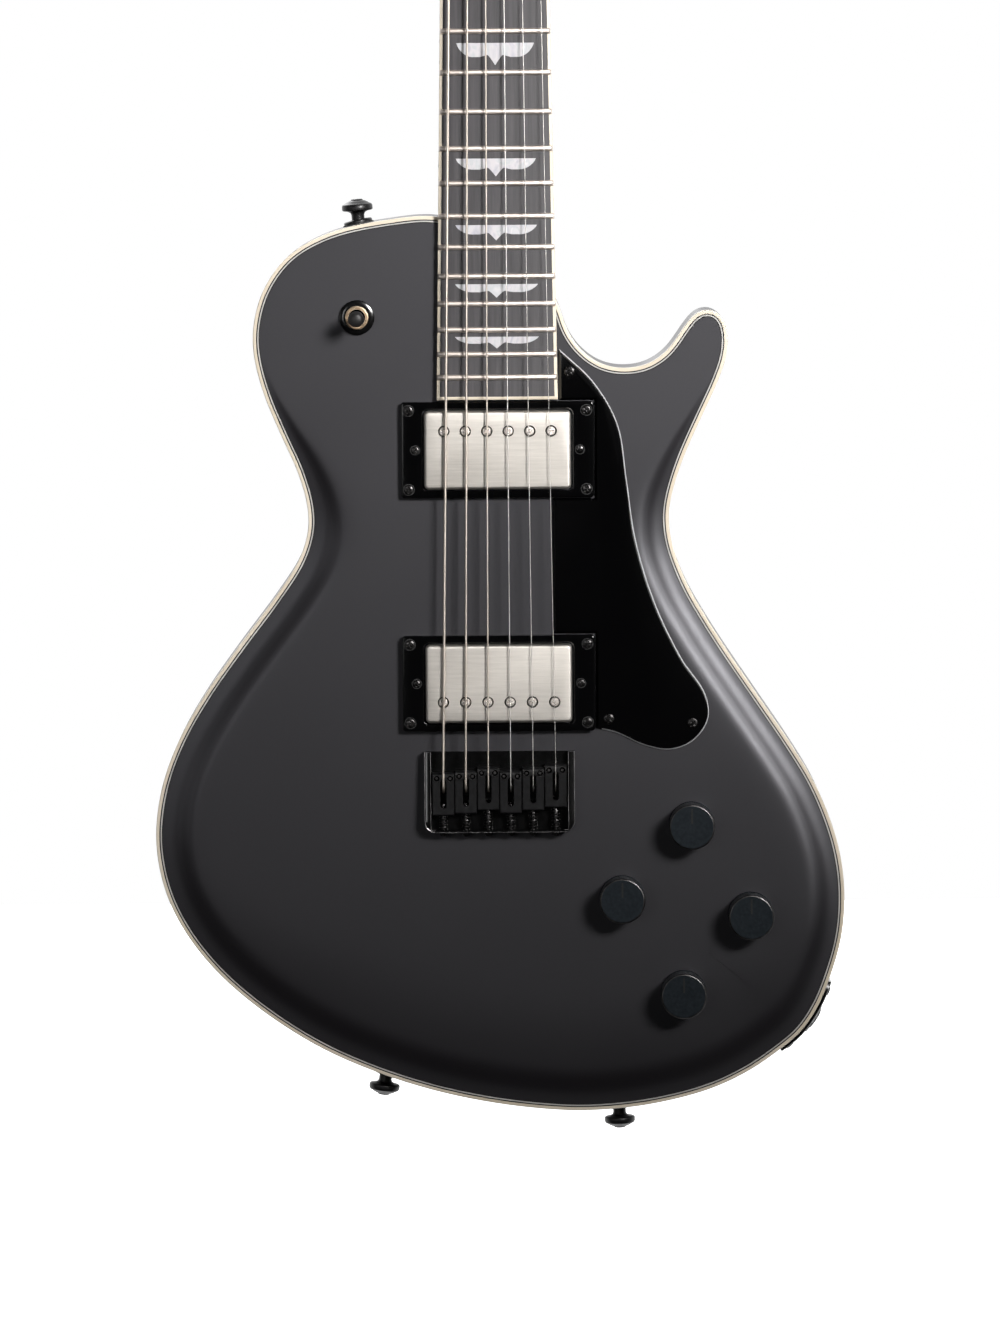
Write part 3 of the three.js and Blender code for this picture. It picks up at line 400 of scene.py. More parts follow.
def material(name, colour, rough, metal=0.0, coat=0.0, ior=1.5):
    m = bpy.data.materials.new(name)
    m.use_nodes = True
    b = shader_of(m)
    b.inputs["Base Color"].default_value = (*colour, 1)
    b.inputs["Roughness"].default_value = rough
    b.inputs["Metallic"].default_value = metal
    b.inputs["IOR"].default_value = ior
    b.inputs["Coat Weight"].default_value = coat
    b.inputs["Coat Roughness"].default_value = 0.08
    return m

def texture(m, kind, scale, stretch=(1, 1, 1), detail=3.0, rough=0.55):
    t = m.node_tree
    pos = t.nodes.new("ShaderNodeTexCoord")
    mp = t.nodes.new("ShaderNodeMapping")
    mp.inputs["Scale"].default_value = stretch
    n = t.nodes.new(kind)
    n.inputs["Scale"].default_value = scale
    if "Detail" in n.inputs:
        n.inputs["Detail"].default_value = detail
    if "Roughness" in n.inputs:
        n.inputs["Roughness"].default_value = rough
    t.links.new(pos.outputs["Object"], mp.inputs["Vector"])
    t.links.new(mp.outputs["Vector"], n.inputs["Vector"])
    return n

def vary(m, source, stops):
    """The base colour follows a pattern through a colour ramp."""
    t = m.node_tree
    r = t.nodes.new("ShaderNodeValToRGB")
    e = r.color_ramp.elements
    while len(e) < len(stops):
        e.new(0.5)
    for k, (at, colour) in enumerate(stops):
        e[k].position = at
        e[k].color = (*colour, 1)
    t.links.new(source, r.inputs["Fac"])
    t.links.new(r.outputs["Color"], shader_of(m).inputs["Base Color"])

def vary_rough(m, source, low, high):
    t = m.node_tree
    r = t.nodes.new("ShaderNodeMapRange")
    r.inputs["To Min"].default_value, r.inputs["To Max"].default_value = low, high
    t.links.new(source, r.inputs["Value"])
    t.links.new(r.outputs["Result"], shader_of(m).inputs["Roughness"])

def bump(m, source, strength, distance):
    t = m.node_tree
    b = t.nodes.new("ShaderNodeBump")
    b.inputs["Strength"].default_value = strength
    b.inputs["Distance"].default_value = distance * MM
    t.links.new(source, b.inputs["Height"])
    t.links.new(b.outputs["Normal"], shader_of(m).inputs["Normal"])

def pattern(m, scale, stops=None, gloss=None, relief=None, kind=NOISE, **how):
    """One pattern that varies a material's colour, roughness and relief."""
    node = texture(m, kind, scale, **how)
    fac = node.outputs["Fac"]
    if stops:
        vary(m, fac, stops)
    if gloss:
        vary_rough(m, fac, *gloss)
    if relief:
        bump(m, fac, *relief)
    return node

charcoal = material("charcoal_satin", (0.005, 0.004, 0.0048), 0.41, ior=1.72)
shader_of(charcoal).inputs["Specular Tint"].default_value = (0.93, 0.935, 1.0, 1)
pattern(charcoal, 1400, [(0.3, (0.0028, 0.002, 0.0028)), (0.72, (0.0048, 0.0036, 0.0048))],
        relief=(0.12, 0.05), detail=2)
pattern(charcoal, 14, gloss=(0.39, 0.43), detail=4)

neck_black = material("neck_satin", (0.018, 0.0175, 0.018), 0.38, 0.0, 0.1)
pattern(neck_black, 300, [(0.35, (0.013, 0.0125, 0.013)), (0.7, (0.024, 0.023, 0.0235))],
        (0.3, 0.45), (0.1, 0.05), stretch=(1, 1, 0.05), detail=4)

pole_nickel = material("pole_nickel", (0.86, 0.81, 0.77), 0.36, 1.0)
pattern(pole_nickel, 500, [(0.3, (0.8, 0.75, 0.71)), (0.7, (0.92, 0.87, 0.83))], (0.36, 0.44))

cream = material("cream_binding", (0.86, 0.77, 0.6), 0.3, 0.0, 0.3)
pattern(cream, 22, [(0.3, (0.62, 0.54, 0.42)), (0.7, (0.72, 0.65, 0.54))], (0.26, 0.38), detail=5)

line_black = material("purfling_black", (0.008, 0.008, 0.008), 0.35)
pattern(line_black, 200, gloss=(0.3, 0.45))
line_white = material("purfling_light", (0.45, 0.44, 0.42), 0.35)
pattern(line_white, 90, [(0.3, (0.38, 0.37, 0.355)), (0.7, (0.52, 0.51, 0.49))])

gloss_black = material("gloss_black_plastic", (0.0008, 0.0008, 0.001), 0.1, 0.0, 0.4)
pattern(gloss_black, 30, gloss=(0.07, 0.16), detail=6)
pattern(gloss_black, 120, relief=(0.03, 0.05))

guard_core = material("pickguard_edge", (0.42, 0.43, 0.44), 0.25, 0.0, 0.3)
pattern(guard_core, 300, gloss=(0.2, 0.35))

nickel = material("brushed_nickel", (0.66, 0.62, 0.57), 0.3, 1.0)
pattern(nickel, 900, [(0.3, (0.54, 0.513, 0.475)), (0.7, (0.67, 0.637, 0.592))],
        (0.42, 0.52), (0.25, 0.06), stretch=(0.05, 1, 1), detail=8, rough=0.75)

tray_black = material("tray_black", (0.0015, 0.0015, 0.0016), 0.18, 0.0, 0.2)
pattern(tray_black, 400, [(0.3, (0.001, 0.001, 0.001)), (0.7, (0.003, 0.003, 0.0032))], (0.14, 0.22))

satin = material("satin_black_plastic", (0.01, 0.0095, 0.0095), 0.42, ior=1.38)
pattern(satin, 350, [(0.3, (0.007, 0.0067, 0.0067)), (0.7, (0.014, 0.0133, 0.0133))], (0.38, 0.5), detail=4)

screw_metal = material("screw_black", (0.05, 0.048, 0.048), 0.3, 1.0)
pattern(screw_metal, 500, [(0.3, (0.032, 0.031, 0.031)), (0.7, (0.085, 0.082, 0.082))], (0.22, 0.32))

# a dark steel for the springs and the lever's stem; the rings it makes on screw-hole and knob rims are painted
# highlights
steel_and_rim_highlight = material("black_spring_steel_and_painted_rim_highlight", (0.035, 0.033, 0.033), 0.36, 1.0)
pattern(steel_and_rim_highlight, 400, [(0.3, (0.05, 0.0485, 0.0485)), (0.7, (0.11, 0.107, 0.107))], (0.3, 0.42))

black_metal = material("black_metal", (0.012, 0.012, 0.013), 0.36, 0.35)
pattern(black_metal, 500, [(0.3, (0.006, 0.006, 0.0065)), (0.75, (0.013, 0.013, 0.014))],
        (0.3, 0.46), (0.1, 0.05))

# black nickel for screws and ferrules; on the bridge walls it also draws the painted highlight lines
nickel_and_edge_highlight = material("black_nickel_and_painted_edge_highlight", (0.2, 0.195, 0.2), 0.34, 1.0)
pattern(nickel_and_edge_highlight, 260, [(0.3, (0.13, 0.126, 0.13)), (0.7, (0.27, 0.26, 0.265))], (0.28, 0.42), detail=4)

slate = material("slate_knob", (0.012, 0.0165, 0.022), 0.34, 0.5)
pattern(slate, 700, [(0.3, (0.009, 0.0135, 0.018)), (0.7, (0.016, 0.022, 0.028))], (0.3, 0.42))

steel = material("plain_steel", (0.78, 0.75, 0.72), 0.45, 1.0)
pattern(steel, 900, gloss=(0.33, 0.42), stretch=(1, 1, 0.1))

wound = material("wound_string", (0.85, 0.78, 0.71), 0.5, 1.0)
pattern(wound, 900, [(0.05, (0.6, 0.54, 0.48)), (0.5, (0.92, 0.85, 0.78))],
        relief=(0.25, 0.05), kind="ShaderNodeTexWave", stretch=(0, 0, 1))

fret_metal = material("fret_nickel", (0.86, 0.78, 0.72), 0.45, 1.0)
pattern(fret_metal, 260, [(0.3, (0.74, 0.655, 0.60)), (0.7, (0.88, 0.80, 0.74))],
        (0.42, 0.56), stretch=(0.2, 1, 1), detail=4)

ebony = material("dark_fingerboard", (0.08, 0.075, 0.077), 0.5)
EBONY_TONES = [(0.3, (0.025, 0.0235, 0.026)), (0.5, (0.042, 0.0395, 0.043)), (0.72, (0.066, 0.062, 0.067))]
pattern(ebony, 420, EBONY_TONES, (0.42, 0.62), (0.25, 0.12), stretch=(1, 1, 0.035), detail=8, rough=0.65)

pearl = material("pearl_inlay", (0.72, 0.71, 0.76), 0.16, 0.0, 0.5)
PEARL_TONES = [(0.3, (0.42, 0.42, 0.47)), (0.45, (0.56, 0.54, 0.56)),
               (0.58, (0.47, 0.49, 0.51)), (0.72, (0.62, 0.60, 0.62))]
nacre = pattern(pearl, 130, PEARL_TONES, stretch=(1, 1, 0.6))
nacre.inputs["Distortion"].default_value = 1.4

bone = material("bone_nut", (0.82, 0.78, 0.68), 0.35)
pattern(bone, 120, [(0.3, (0.74, 0.69, 0.58)), (0.7, (0.86, 0.83, 0.74))], detail=5)

gold = material("switch_nut", (0.78, 0.62, 0.44), 0.4, 1.0)
pattern(gold, 300, [(0.3, (0.46, 0.35, 0.24)), (0.7, (0.66, 0.54, 0.4))], (0.34, 0.46))

# a dark matte material that paints the shade in recesses: round the ring screws and in the cover holes round the
# pole screws
dark = material("painted_recess_shade", (0.006, 0.006, 0.006), 0.7)
pattern(dark, 200, gloss=(0.6, 0.85))

felt = material("felt_washer", (0.02, 0.02, 0.02), 0.95)
pattern(felt, 900, [(0.3, (0.012, 0.012, 0.012)), (0.7, (0.05, 0.05, 0.05))], relief=(0.8, 0.3), detail=5)

circuit = material("circuit_board", (0.02, 0.09, 0.04), 0.4)
pattern(circuit, 60, [(0.4, (0.015, 0.07, 0.03)), (0.6, (0.03, 0.12, 0.05))])

# ---------------------------------------------------------------- body

EDGE_POINTS = 840
RISE_STEPS = 300
edge = soften(spline(BODY_OUTLINE, EDGE_POINTS, True), 1.6)
outward = -normals_in(edge)
# the top is carved below the horn, and its shoulder is broader at the tail
carve = 1 - smoothstep(95, 190, edge[:, 1])
shoulder = 1 - smoothstep(-150, -60, edge[:, 1])
lip = TOP + LIP_DROP * carve
reach = 0.2 + 0.8 * carve
away = 0.5 - 0.5 * np.clip(outward[:, 0], -1, 1)
middle = 10.6 + 2.4 * np.clip(away + shoulder, 0, 1)
span = 30 + 31 * shoulder

def slope(d):
    """How steeply the carved top rises at a distance in from the edge."""
    crest = np.exp(-0.5 * ((d - middle) / (3.1 + 0.5 * shoulder)) ** 2)
    tail = smoothstep(5, 12, d) * (1 - smoothstep(13, 31 + 30 * shoulder, d))
    near = (0.13 - 0.05 * shoulder) * (1 - smoothstep(4, 11, d))
    return near + 0.5 * (1 - 0.2 * shoulder) * crest + (0.035 + 0.075 * shoulder) * tail

gain = np.cumsum([slope(BINDING_W + u * span) for u in np.linspace(0, 1, RISE_STEPS + 1)], axis=0)
gain = gain / gain[-1]

def edge_ring(d, y):
    return flat(inset(edge, d), y)

def top_ring(u):
    risen = gain[int(round(u * RISE_STEPS))]
    return edge_ring(BINDING_W + u * span * reach, TOP + LIP_DROP * (1 - risen) * carve)

cavity = inset(spline(CAVITY, 90, True), -5)
round_cover = np.array([(SWITCH[0] + 27 * math.cos(a), SWITCH[1] + 27 * math.sin(a))
                        for a in np.linspace(0, math.tau, 72, endpoint=False)])

def build_body():
    """Flat back with a rounded edge, sides, the carved top, and the cover recesses and switch bore."""
    rings = [edge_ring(BACK_RADIUS * (1 - math.sin(a)), -BACK_RADIUS * (1 - math.cos(a))) for a in quarter(8)]
    side_low = lip + BINDING_H
    for t in (0.25, 0.5, 0.75, 1.0):
        rings.append(flat(edge, -BACK_RADIUS * (1 - t) + side_low * t))
    rings.append(edge_ring(0.7, side_low))
    rings.append(edge_ring(0.7, lip + 0.6))
    rings += [top_ring(u) for u in np.r_[np.arange(0, 0.66, 0.023), 0.7, 0.76, 0.83, 0.91, 1]]
    body = one(skin(rings), "carved_body", [charcoal], replaces=["body"], slot="body_finish", sharp=60)
    recesses = [inset(cavity, -0.35), inset(round_cover, -0.35)]
    cuts = [cutter(skin([flat(line, 4), flat(line, -2.2)])) for line in recesses]
    bore = [(0, 0), (SWITCH_BORE, 0), (SWITCH_BORE, 60), (0, 60)]
    carve_out(body, *cuts, cutter(lathe(bore, 48), aim((SWITCH[0], 0, SWITCH[1]), FRONT)))

def open_heel(part):
    """Leaves out the stretch of edge that runs under the neck."""
    v, f = part
    v = np.asarray(v)
    under = lambda i: abs(v[i][0]) < 27.9 and v[i][2] > 205
    return v, [q for q in f if not all(under(i) for i in q)]

def build_binding():
    soft = 0.55
    rings = [edge_ring(0.75, lip + BINDING_H), edge_ring(0.0, lip + BINDING_H)]
    rings += [edge_ring(0.0, lip + BINDING_H * t) for t in (0.66, 0.33)]
    rings += [edge_ring(soft * (1 - math.cos(a)), lip + soft * (1 - math.sin(a))) for a in quarter(6)]
    rings += [edge_ring(BINDING_W, lip), edge_ring(BINDING_W, lip + 0.65), edge_ring(0.75, lip + 0.65)]
    one(open_heel(skin(rings, loop=True)), "cream_edge_binding", [cream], replaces=["body_binding"],
        slot="binding", sharp=50)

def rim_at(d):
    """A line on the carved rim at a distance in from the edge."""
    u = np.clip((d - BINDING_W) / (span * reach) * RISE_STEPS, 0, RISE_STEPS - 1)
    low = u.astype(int)
    cols = np.arange(EDGE_POINTS)
    g = gain[low, cols] * (1 - u + low) + gain[low + 1, cols] * (u - low)
    return edge_ring(d, TOP + LIP_DROP * (1 - g) * carve - 0.04)

def build_purfling():
    """A light line between two dark ones, inside the binding."""
    lines = Shape()
    drop = np.array([0, 0.35, 0])
    for start, width, mat in ((1.6, 0.55, 0), (2.15, 0.6, 1), (2.75, 0.5, 0)):
        a, b = rim_at(start), rim_at(start + width)
        lines.add(open_heel(skin([a + drop, a, b, b + drop], loop=True)), mat=mat)
    lines.make("purfling_lines", [line_black, line_white], slot="binding", sharp=30)

# ---------------------------------------------------------------- neck and headstock

def half_at(z):
    """Half the neck's width at a height."""
    t = (min(z, SCALE) - BOARD_END) / (SCALE - BOARD_END)
    return HEEL_HALF + (NUT_HALF - HEEL_HALF) * t

def neck_ring(z, depth, power, n=40):
    a = np.linspace(0, math.pi, n + 1)
    x = np.sign(np.cos(a)) * np.abs(np.cos(a)) ** (2 / power)
    return np.stack([half_at(z) * x, TOP + depth * np.abs(np.sin(a)) ** (2 / power), np.full(n + 1, z)], 1)

def head_rings():
    half = spline(HEAD_HALF, 80, False)
    face = np.vstack([half, [(0, 160)], (half * (-1, 1))[::-1]])
    back_soft, front_soft = 1.6, 1.0
    rings = [flat(inset(face, back_soft * (1 - math.sin(a))), HEAD_THICK - back_soft * (1 - math.cos(a)))
             for a in quarter(6)]
    rings += [flat(inset(face, 0), y) for y in (11, 9, 7, 5, 3)]
    rings += [flat(inset(face, front_soft * (1 - math.cos(a))), front_soft * (1 - math.sin(a)))
              for a in quarter(5)]
    for ring in rings:
        # the slab's back narrows towards the round of the neck
        throat = 1 - smoothstep(0, 36, ring[:, 2])
        ring[:, 0] *= 1 - throat * (1 - np.sqrt(1 - (ring[:, 1] / 17.5) ** 2))
    return rings

def build_neck():
    depth = spline([(z, d) for z, d, p in NECK_STATIONS], 600, False)
    power = spline([(z, p) for z, d, p in NECK_STATIONS], 600, False)
    rings = [neck_ring(z, np.interp(z, depth[:, 0], depth[:, 1]), np.interp(z, power[:, 0], power[:, 1]))
             for z in np.r_[172, 210, 240, np.arange(246, 656, 6.0), 655]]
    shape = Shape().add(skin(rings)).add(skin(head_rings()), HEAD)
    neck = shape.make("neck_and_headstock", [neck_black], replaces=["neck"], slot="neck_wood", sharp=50)
    # the slab stands in front of the neck below the nut, and is cut back to the top there
    carve_out(neck, cutter(skin([flat(rounded_rect(0, 626, 40, 26, 1), y) for y in (TOP, -62)])))

# ---------------------------------------------------------------- fretboard

FRET_Z = [SCALE * 2 ** (-n / 12) for n in range(23)]

def sag(x):
    """How far the arched board falls away at a distance from its centre line."""
    return BOARD_RADIUS - np.sqrt(BOARD_RADIUS**2 - np.asarray(x, float) ** 2)

def board_y(x):
    return BOARD_Y + float(sag(x))

def board_ring(z, hw, n=24):
    x = np.linspace(hw, -hw, n + 1)
    top = np.stack([x, BOARD_Y + sag(x), np.full(n + 1, z)], 1)
    return np.vstack([[(hw, TOP, z)], top, [(-hw, TOP, z)]])

def build_board():
    rings = [board_ring(z, half_at(z) - BOARD_EDGE) for z in np.linspace(BOARD_END + BOARD_EDGE, SCALE, 24)]
    one(skin(rings), "fingerboard", [ebony], replaces=["fretboard"], slot="ebony", sharp=30)

def edge_strip(side):
    rings = []
    for z in np.linspace(BOARD_END, SCALE, 30):
        o, i = half_at(z), half_at(z) - BOARD_EDGE
        line = [(side * i, TOP), (side * i, board_y(i) - 0.01), (side * (o - 0.4), board_y(o) - 0.01),
                (side * (o - 0.12), board_y(o) + 0.12), (side * o, board_y(o) + 0.45), (side * o, TOP)]
        rings.append(np.array([(x, y, z) for x, y in line]))
    return skin(rings)

def build_board_binding():
    """A strip along each side and one across the end."""
    strips = Shape().add(edge_strip(1)).add(edge_strip(-1))
    stations = ((BOARD_END, 0.25), (BOARD_END + 0.25, -0.01), (BOARD_END + BOARD_EDGE, -0.01))
    top_only = (np.arange(27) % 26 > 0)[:, None]
    strips.add(skin([board_ring(z, half_at(z) - 0.3) + np.array([0, dy, 0]) * top_only for z, dy in stations]))
    strips.make("fingerboard_binding", [cream], replaces=["fretboard_binding"], slot="binding", sharp=50)

def build_frets():
    frets = Shape()
    across = np.linspace(-1, 1, 9)
    for n in range(1, 23):
        z, hw = FRET_Z[n], half_at(FRET_Z[n]) - 0.15
        ends = [(hw, 0.75), (hw - 0.35, 0.3)]
        ends += [(q, 0) for q in np.linspace(hw - 0.8, 0.8 - hw, 15)]
        ends += [(0.35 - hw, 0.3), (-hw, 0.75)]
        rings = []
        for x, low in ends:
            arch = 1.1 * np.sqrt(np.clip(1 - (across * 0.93) ** 2, 0, 1))
            crown = board_y(x) - np.maximum(arch - low, 0.0) - 0.02
            ring = [(x, y, z + q * 1.3) for q, y in zip(across, crown)]
            ring += [(x, BOARD_Y + 1.6, z + 1.3), (x, BOARD_Y + 1.6, z - 1.3)]
            rings.append(np.array(ring))
        frets.add(skin(rings))
    frets.make("frets", [fret_metal], slot="steel", sharp=50)

def wing(n):
    """A plain spread wing with a point in the middle, between two frets."""
    high, low = FRET_Z[n - 1], FRET_Z[n]
    gap = high - low
    w = 0.74 * (half_at((high + low) / 2) - 1.5)
    top = (high + low) / 2 + 0.215 * gap
    up, down = [], []
    for q in np.linspace(-1, 1, 81):
        e = abs(q)
        tail = max(0, 1 - ((e - 0.58) / 0.42) ** 2) ** 0.75 if e > 0.58 else 1
        feather = (0.19 + 0.0078 * gap) * gap * tail
        point = 0.2 * gap * max(0, 1 - e / 0.19) ** 1.2
        notch = 0.05 * gap * max(0, 1 - abs(e - 0.2) / 0.2)
        up.append((q * w, top))
        down.append((q * w, top - max(feather + point - notch, 0.02)))
    return up, down

def build_inlays():
    inlay = Shape()
    for n in MARKED_FRETS:
        up, down = wing(n)
        on_board = lambda line, h: np.array([(x, board_y(x) + h, z) for x, z in line])
        rings = [on_board(up, 0.4), on_board(up, -0.04), on_board(down, -0.04), on_board(down, 0.4)]
        m = len(up)
        f = []
        for k in range(4):
            a, b = k * m, ((k + 1) % 4) * m
            f += [(a + i, a + i + 1, b + i + 1, b + i) for i in range(m - 1)]
        f += [(0, m, 2 * m, 3 * m), (m - 1, 4 * m - 1, 3 * m - 1, 2 * m - 1)]
        inlay.add((np.vstack(rings), f))
    inlay.make("pearl_inlays", [pearl], slot="nut_bone", sharp=30)

def build_side_dots():
    dots = Shape()
    dot = [(0, -0.4), (1, -0.4), (1, 0.03), (0.6, 0.05), (0, 0.05)]
    for n in MARKED_FRETS:
        for dz in ((-5, 5) if n == 12 else (0,)):
            z = (FRET_Z[n - 1] + FRET_Z[n]) / 2 + dz
            dots.add(lathe(dot, 20), aim((-half_at(z), TOP - 3, z), (-1, 0, 0)))
    dots.make("side_dots", [line_black], slot="ebony")

def string_x(k):
    return (k - 2.5) * STRING_GAP

def nut_x(k):
    return (k - 2.5) * NUT_GAP

def build_nut():
    line = [(TOP, 0.3), (-51.2, 0.3), (-51.7, 0.7), (-51.9, 1.4), (-51.5, 2.6), (-50.4, 3.7), (-49.6, 4.0),
            (TOP, 4.0)]
    rings = [np.array([(x, y, SCALE + z) for y, z in line]) for x in np.linspace(-NUT_HALF, NUT_HALF, 3)]
    nut = one(skin(rings), "bone_nut", [bone], replaces=["nut"], slot="nut_bone", sharp=40)
    slot_y = -51.5 + 0.1
    carve_out(nut, *[cutter(tube([(nut_x(k), slot_y, 640), (nut_x(k), slot_y, 660)], RADII[k] + 0.12, 12))
                     for k in range(6)])

# ---------------------------------------------------------------- pickups

def build_pole_screws(word, cover_y, pole_z, poles):
    core = Shape()
    for x in poles:
        # a dark disc at the bottom of each cover hole stands for the black bobbin and paints the shade in the hole;
        # the shank is dark for the same shade
        core.add(lathe([(0, -0.3), (2.66, -0.3), (2.66, 0), (0, 0)], 36), aim((x, cover_y + 4.9, pole_z), FRONT), 1)
        core.add(head(2.15, 1.0, "cross", 0.15), aim((x, cover_y + 0.7, pole_z), FRONT, math.radians(35 + 17 * x)))
        shank = [(0, -4.6), (1.9, -4.6), (1.9, -0.5), (0, -0.5)]
        core.add(lathe(shank, 24), aim((x, cover_y + 0.7, pole_z), FRONT), 1)
    core.make(word + "_pole_screws", [pole_nickel, dark], replaces=[word + "_pickup_core"], slot="nickel")

def build_ring_screws(word, zc, ring_y):
    """Four corner screws and two height screws, each on a flat dark matte disc that paints the shade of its
    countersink.
    """
    small, sink = Shape(), Shape()
    sx, sz = 41.7, 18.5
    corners = [(-sx, zc + sz, 2.3), (sx, zc + sz, 2.3), (-sx, zc - sz, 2.3), (sx, zc - sz, 2.3)]
    for x, z, rad in corners + [(-38.6, zc, 1.9), (38.6, zc, 1.9)]:
        turn = math.radians(20 + 31 * x + 7 * z)
        small.add(head(rad, 0.95, "cross", 0.4), aim((x, ring_y - 0.05, z), FRONT, turn))
        # the countersink is not cut; a flat dark disc round the head paints its shade
        cone = [(0, -0.4), (rad + 0.45, -0.4), (rad + 0.45, 0.02), (rad - 0.1, 0.06), (0, 0.06)]
        sink.add(lathe(cone, 32), aim((x, ring_y, z), FRONT))
    small.make(word + "_ring_screws", [screw_metal], slot="black_metal")
    sink.make(word + "_ring_countersink_shade", [dark], slot="gloss_black")

def build_pickup(word, zc, ring_y, cover_y, pole_z, pitch):
    outer = rounded_rect(0, zc, 45.25, 22.6, 1.6)
    window = rounded_rect(0, zc, 35.3, 19.2, 2.4)
    one(frame_slab(outer, window, TOP, ring_y, 0.9), word + "_mounting_ring", [gloss_black],
        replaces=[word + "_pickup_ring"], slot="gloss_black", sharp=50)
    shell = rounded_rect(0, zc, 34.4, 18.4, 2.2, 8)
    r = 1.5
    rings = [flat(shell, cover_y + 15)]
    for k in range(7):
        a = k / 6 * math.pi / 2
        rings.append(flat(inset(shell, r * (1 - math.cos(a))), cover_y + r * (1 - math.sin(a))))
    cover = one(skin(rings), word + "_humbucker_cover", [nickel], replaces=[word + "_pickup_cover"],
                slot="nickel", sharp=55)
    poles = [(k - 2.5) * pitch for k in range(6)]
    hole = [(0, -3.5), (2.7, -3.5), (2.7, 3), (0, 3)]
    carve_out(cover, *[cutter(lathe(hole, 40), aim((x, cover_y + 1.6, pole_z), FRONT)) for x in poles])
    build_pole_screws(word, cover_y, pole_z, poles)
    build_ring_screws(word, zc, ring_y)

# ---------------------------------------------------------------- pickguard

def build_pickguard():
    """A black plate whose bevelled free edge shows a pale core."""
    guard = np.vstack([GUARD_CORNERS, spline(GUARD_EDGE, 130, False)[1:]])
    levels = ((0.55, 1.55), (1.1, 2.35), (1.35, 2.4))
    rings = [flat(guard, TOP - 0.02), flat(guard, TOP - 0.9)]
    rings += [flat(inset(guard, d), TOP - h) for d, h in levels]
    plate = Shape().add(skin(rings))
    n = len(guard)
    core_from, core_to = n + len(GUARD_CORNERS), 2 * n - 1
    plate.m = [1 if core_from <= i < core_to else 0 for i in range(len(plate.f))]
    plate.make("pickguard_plate", [gloss_black, guard_core], replaces=["pickguard"], slot="gloss_black", sharp=25)
    screws = Shape()
    for x, z in ((34, 184.1), (51.6, 20.6), (91, 18.4)):
        screws.add(head(2.6, 1.0, "cross", 0.4), aim((x, TOP - 2.42, z), FRONT, math.radians(40 + 50 * z)))
    screws.make("pickguard_screws", [screw_metal], slot="black_metal")

# ---------------------------------------------------------------- bridge

def tray_path(off, n=10):
    """The wall's line: down one side, round the rear corners, up the other side."""
    r = TRAY_CORNER - off
    pts = [(-TRAY_HALF + off, TRAY_FRONT), (-TRAY_HALF + off, TRAY_REAR + TRAY_CORNER)]
    pts += [(-TRAY_HALF + TRAY_CORNER - r * math.cos(a), TRAY_REAR + TRAY_CORNER - r * math.sin(a))
            for a in quarter(n)]
    return np.array(pts + [(-x, z) for x, z in pts[::-1]])

def lowered(z):
    """How much lower the tray's wall is near its front end."""
    return 2.6 * float(smoothstep(TRAY_FRONT - 2.6, TRAY_FRONT, z))

def wall_ring(o, i):
    """The wall's section between its outer and its inner line."""
    outer, inner = np.array([o[0], 0, o[1]]), np.array([i[0], 0, i[1]])
    w = max(np.linalg.norm(outer - inner), 0.6)
    d = (inner - outer) / np.linalg.norm(inner - outer)
    y = TRAY_WALL_Y + lowered(o[1])
    return np.array([outer + [0, TOP, 0], outer + [0, y + 0.9, 0],
                     outer + d * 0.35 * min(1, w / 2) + [0, y + 0.2, 0],
                     outer + d * 0.9 * min(1, w / 3) + [0, y, 0],
                     inner - d * 0.5 * min(1, w / 3) + [0, y, 0],
                     inner + [0, y + 0.5, 0], inner + [0, TOP, 0]])

def build_tray():
    outer = tray_path(0)
    inner = np.array([(math.copysign(min(abs(x), TRAY_HALF - 3.1), x), max(z, TRAY_REAR + 1.35))
                      for x, z in outer])
    tray = Shape().add(skin([wall_ring(o, i) for o, i in zip(outer, inner)]))
    base = tray_path(0.4)
    tray.add(skin([flat(base, TOP), flat(base, TRAY_FLOOR_Y)]))
    tray.make("bridge_tray", [tray_black], replaces=["bridge_plate"], slot="black_metal", sharp=35)
    # thin half-buried tubes of lighter metal along the walls' outer and inner edges paint the highlights on those
    # edges; the lamps light them as well
    edge_highlights = Shape()
    edge_highlights.add(tube([(x + (0.28 if x < 0 else -0.28), TRAY_WALL_Y + 0.12 + lowered(z), z + 0.25)
                   for x, z in outer], 0.22, 8))
    for side in (-1, 1):
        wall = [p for p in inner if side * p[0] > 0]
        edge_highlights.add(tube([(x, TRAY_WALL_Y + 0.5 + lowered(z), z) for x, z in wall], 0.2, 8))
    edge_highlights.make("bridge_painted_edge_highlights", [nickel_and_edge_highlight], slot="black_metal")

def build_saddle_block(name, x, front, rear, crest):
    line = [(front, -46.6), (front, crest + 1.7), (front - 0.2, crest + 0.9), (front - 0.7, crest + 0.25),
            (front - 1.4, crest), (front - 3.0, crest + 0.05), (front - 8, crest + 0.35),
            (rear + 0.6, crest + 0.8), (rear + 0.15, crest + 1.15), (rear, crest + 1.7), (rear, -46.6)]
    # the outer faces lie a little lower than the middle
    rings = [np.array([(x + dx, y + (0.25 if abs(dx) > 5 else 0) * (y < -50), z) for z, y in line])
             for dx in (-5.13, -4.85, 4.85, 5.13)]
    block = one(skin(rings), "saddle_block_" + name, [black_metal], body="saddle_" + name,
                replaces=["saddle_" + name], slot="black_metal", sharp=30)
    window = rounded_rect(x, front - 9.85, 1.5, 6.85, 1.45)
    screw_hole = lathe([(0, -1), (1.3, -1), (1.3, 4.5), (0, 4.5)], 28)
    grub_hole = lathe([(0, 0), (1.5, 0), (1.5, 9), (0, 9)], 32)
    carve_out(block, cutter(skin([flat(window, -40), flat(window, -60)])),
              cutter(screw_hole, aim((x, INTONATION_Y, rear), UP)),
              *[cutter(grub_hole, aim((x + dx, -50.6, front - 2.4), FRONT))
                for dx in (-HEIGHT_SCREW_X, HEIGHT_SCREW_X)])

